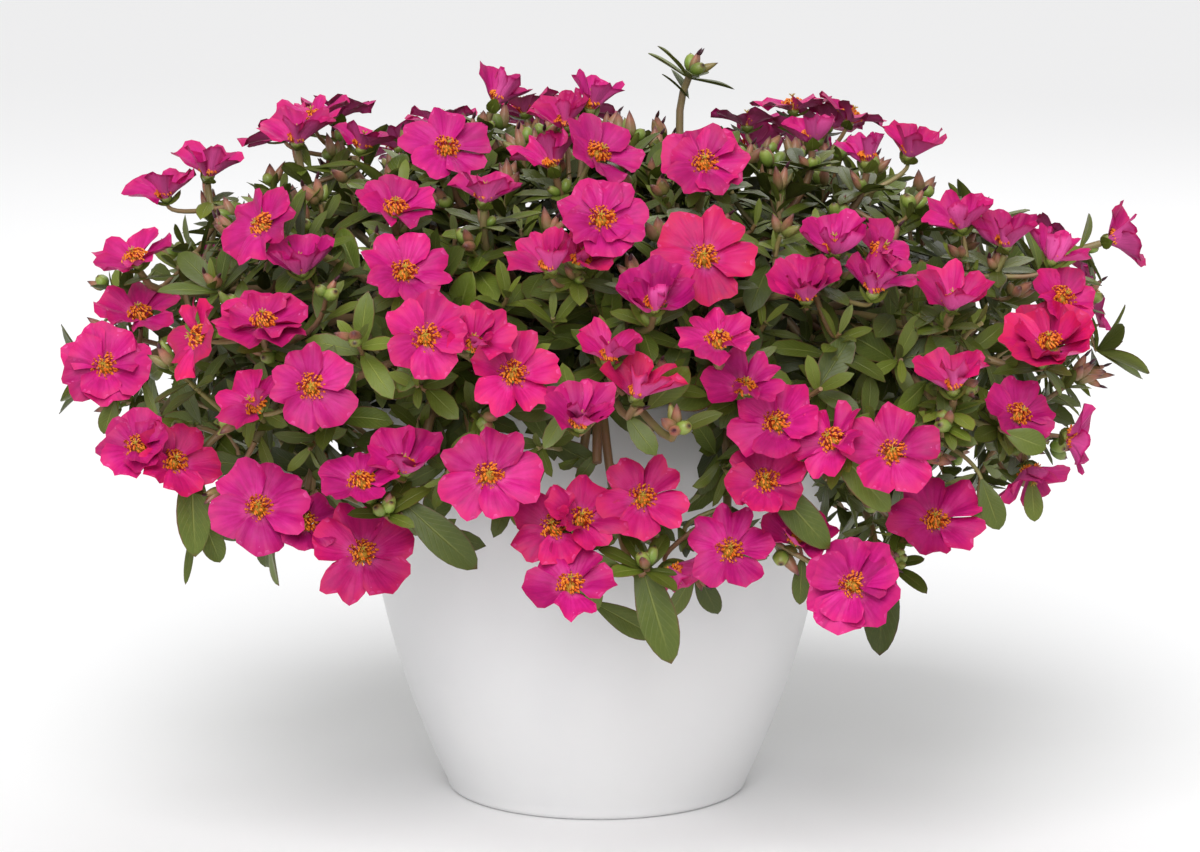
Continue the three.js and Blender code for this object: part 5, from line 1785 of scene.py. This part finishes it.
def growLayer(layer, samples, owners, paths, generator):
    # side twigs that end in a tuft, evenly spread over the cushion where no bloom stands
    made = 0
    for i in range(layer["spurs"]):
        height = 1.0 - 2.0 * (i + 0.5) / layer["spurs"]
        azimuth = goldenTurn * i + layer["turn"]
        flat = math.sqrt(1.0 - height**2)
        surface = surfaceTowards(np.array([math.cos(azimuth) * flat, math.sin(azimuth) * flat, height]), 2.0)
        if surface[2] < growth["lowest"]:
            continue
        out = outward(surface)
        foot = surface - out * (generator.uniform(*layer["sunk"]) + growth["sunkTop"] * max(out[2], 0.0) ** 2)
        axis = unit(out + 0.3 * up + generator.normal(0.0, 0.22, 3))
        if hitsBloom(np.array([foot, foot + axis * 10.0]), 3.0).any():
            foot = foot - out * growth["stepIn"]
            if hitsBloom(np.array([foot, foot + axis * 6.0]), 3.0).any():
                continue
        nearPot = math.hypot(foot[0], foot[1]) < potRadiusAt(foot[2]) + growth["fromWall"]
        if nearPot and foot[2] < potShape["height"] + growth["overRim"]:
            continue
        if beyondFoliage(foot + axis * 8.0) or foot[2] < growth["lowest"]:
            continue
        if inThinPlace(*sighted(foot), foot[1]):
            continue
        if np.min(np.linalg.norm(rosettePlaces - foot, axis=1)) < growth["apart"]:
            continue
        nearest = np.argmin(np.linalg.norm(samples - (foot - out * 12.0), axis=1))
        stem = paths[int(owners[nearest])][0]
        start = samples[nearest]
        span = np.linalg.norm(foot - start)
        index = layer["index"] + i
        hasBuds = draw(index, 91) < layer["budShare"]
        crown = foot + axis * (growth["crown"] if hasBuds else 0.0)
        curve = bezier([start, foot - axis * 0.4 * span, crown], 6)
        addTube(stem, curve, "spur")
        makeTuft(stem["small"], foot, axis, layer["leaves"], index)
        addAlong(stem["small"], curve, span, index, 16.0, 9.0)
        if hasBuds:
            addBuds(stem, crown, axis, 3 + int(3 * draw(index, 92)), index)
        made += 1
    return made


def growSpurs():
    paths = [(stem, one["path"]) for stem in stems for one in stem["shoots"]]
    paths += [(stem, spaced(stem["path"], 24)) for stem in stems]
    owners = np.concatenate([np.full(len(path), i) for i, (_, path) in enumerate(paths)])
    samples = np.concatenate([path for _, path in paths])
    generator = np.random.default_rng(growth["seed"])
    growHanging(samples, owners, paths)
    made = [growLayer(layer, samples, owners, paths, generator) for layer in growthLayers]
    print("spurs:", made)


def budBlocks(buds):
    # pointed buds and round capsules, and a bent stub of wilted petals on the tips of some buds
    feet, axes, radii, lengths, kinds, tones = (np.array(values) for values in zip(*buds))
    blocks = []
    isBud = kinds <= budShape["share"]
    for profile, chosen in ((budProfile, isBud), (capsuleProfile, ~isBud)):
        if not chosen.any():
            continue
        foot, axis, length, tone = feet[chosen], axes[chosen], lengths[chosen], tones[chosen]
        ripe = smoothStep((budShape["share"] + 0.03 - kinds[chosen]) / 0.25)
        pods = podBlock(foot, axis, radii[chosen], length, profile, budMaterial, tone=tone, warmth=ripe)
        blocks.append(pods)
        wilted = np.flatnonzero((tone > budShape["wilted"]) & (ripe > 0.5))
        if len(wilted):
            foot = foot[wilted] + axis[wilted] * (length[wilted] - budShape["stubSunk"])[:, None]
            bend = np.stack([tone[wilted], -ripe[wilted], tone[wilted] * 0.5], -1)
            lean = unit(axis[wilted] + 0.5 * bend)
            radius, length = budShape["stubRadius"], budShape["stubLength"]
            stub = podBlock(foot, lean, radius, length, budProfile, budMaterial, tone=0.3, warmth=1.0)
            stub["uv"][:, 1] = 1.0
            blocks.append(stub)
    return blocks


def makeStems():
    finishes = [leafMaterial, stemMaterial, budMaterial]
    for number, stem in enumerate(stems, 1):
        blocks = [leafBlock(stem["kept"], 8, 10, leafMaterial)] if stem["kept"]["foot"] else []
        small = clearLeaves(stem["small"])
        near = np.array(small["depth"]) <= growth["plainDepth"]
        for chosen, grid in ((near, (4, 5)), (~near, (2, 4))):
            blocks.append(leafBlock(leavesWhere(small, chosen), *grid, leafMaterial, point=1.3))
        # a stem's depth mark, at 0.6 of a leaf's, gives it painted shade
        for i, (path, radii, sides) in enumerate(stem["tubes"]):
            blocks.append(tubeBlock(path, radii, sides, stemMaterial, tone=draw(i, 93), warmth=draw(i, 94),
                                    depth=float(depthIn(path[len(path) // 2])) * 0.6))
        buds = [one for one in stem["buds"] if not hitsBloom(np.array([one[0] + one[1] * one[3]]))[0]]
        blocks += budBlocks(buds) if buds else []
        makePiece(f"leafyStemFine_{number:02d}", blocks, finishes, [f"leafy_stem_{number:02d}"])
        offered = len(stem["small"]["foot"])
        print("stem", number, "leaves", len(small["foot"]), "of", offered, "buds", len(buds))


growStemDetails()
growSpurs()
makeStems()

stageLook = {
    "floorHalf": 40.0, "floor": (0.93, 0.93, 0.935), "world": 0.50,
    "sun": 1.7, "sunSpread": 40.0, "sunTowards": (0.14, 0.75, -1.0),
}
softboxes = [
    {"name": "key", "place": (-0.15, -2.4, 1.3), "target": (0, 0, 0.2), "size": 1.1, "power": 23.0},
    {"name": "rear", "place": (0.4, 1.8, 1.9), "target": (0, 0, 0.25), "size": 1.2, "power": 12.0},
]
cameraLook = {"lens": 125.0, "sensorWidth": 36.0, "aim": (0.0014, 0.0, 0.176)}


def makeFloor():
    mesh = bpy.data.meshes.new("floor")
    half = stageLook["floorHalf"]
    corners = [(-half, -half, 0), (half, -half, 0), (half, half, 0), (-half, half, 0)]
    mesh.from_pydata(corners, [], [(0, 1, 2, 3)])
    material = bpy.data.materials.new("paleFloor")
    material.use_nodes = True
    shader = material.node_tree.nodes["Principled BSDF"]
    shader.inputs["Base Color"].default_value = (*stageLook["floor"], 1.0)
    shader.inputs["Roughness"].default_value = 0.9
    mesh.materials.append(material)
    floor = bpy.data.objects.new("floor", mesh)
    bpy.context.scene.collection.objects.link(floor)


def addSoftbox(name, place, target, size, power):
    light = bpy.data.lights.new(name, "AREA")
    light.shape = "SQUARE"
    light.size = size
    light.energy = power
    lamp = bpy.data.objects.new(name, light)
    lamp.location = place
    lamp.rotation_euler = (Vector(target) - Vector(place)).to_track_quat("-Z", "Y").to_euler()
    bpy.context.scene.collection.objects.link(lamp)


def addSun():
    light = bpy.data.lights.new("skylight", "SUN")
    light.angle = math.radians(stageLook["sunSpread"])
    light.energy = stageLook["sun"]
    lamp = bpy.data.objects.new("skylight", light)
    lamp.rotation_euler = Vector(stageLook["sunTowards"]).to_track_quat("-Z", "Y").to_euler()
    bpy.context.scene.collection.objects.link(lamp)


def makeCamera():
    data = bpy.data.cameras.new("camera")
    data.lens = cameraLook["lens"]
    data.sensor_width = cameraLook["sensorWidth"]
    camera = bpy.data.objects.new("camera", data)
    camera.location = Vector(eye * 0.001)
    camera.rotation_euler = (Vector(cameraLook["aim"]) - camera.location).to_track_quat("-Z", "Y").to_euler()
    bpy.context.scene.collection.objects.link(camera)
    bpy.context.scene.camera = camera


makeFloor()
addSun()
for softbox in softboxes:
    addSoftbox(**softbox)
world = bpy.data.worlds.new("room")
world.use_nodes = True
world.node_tree.nodes["Background"].inputs["Color"].default_value = (1.0, 1.0, 1.0, 1.0)
world.node_tree.nodes["Background"].inputs["Strength"].default_value = stageLook["world"]
bpy.context.scene.world = world
bpy.context.scene.view_settings.view_transform = "Standard"
makeCamera()

print("triangles:", sum(faceCounts), "most in one piece:", max(faceCounts))
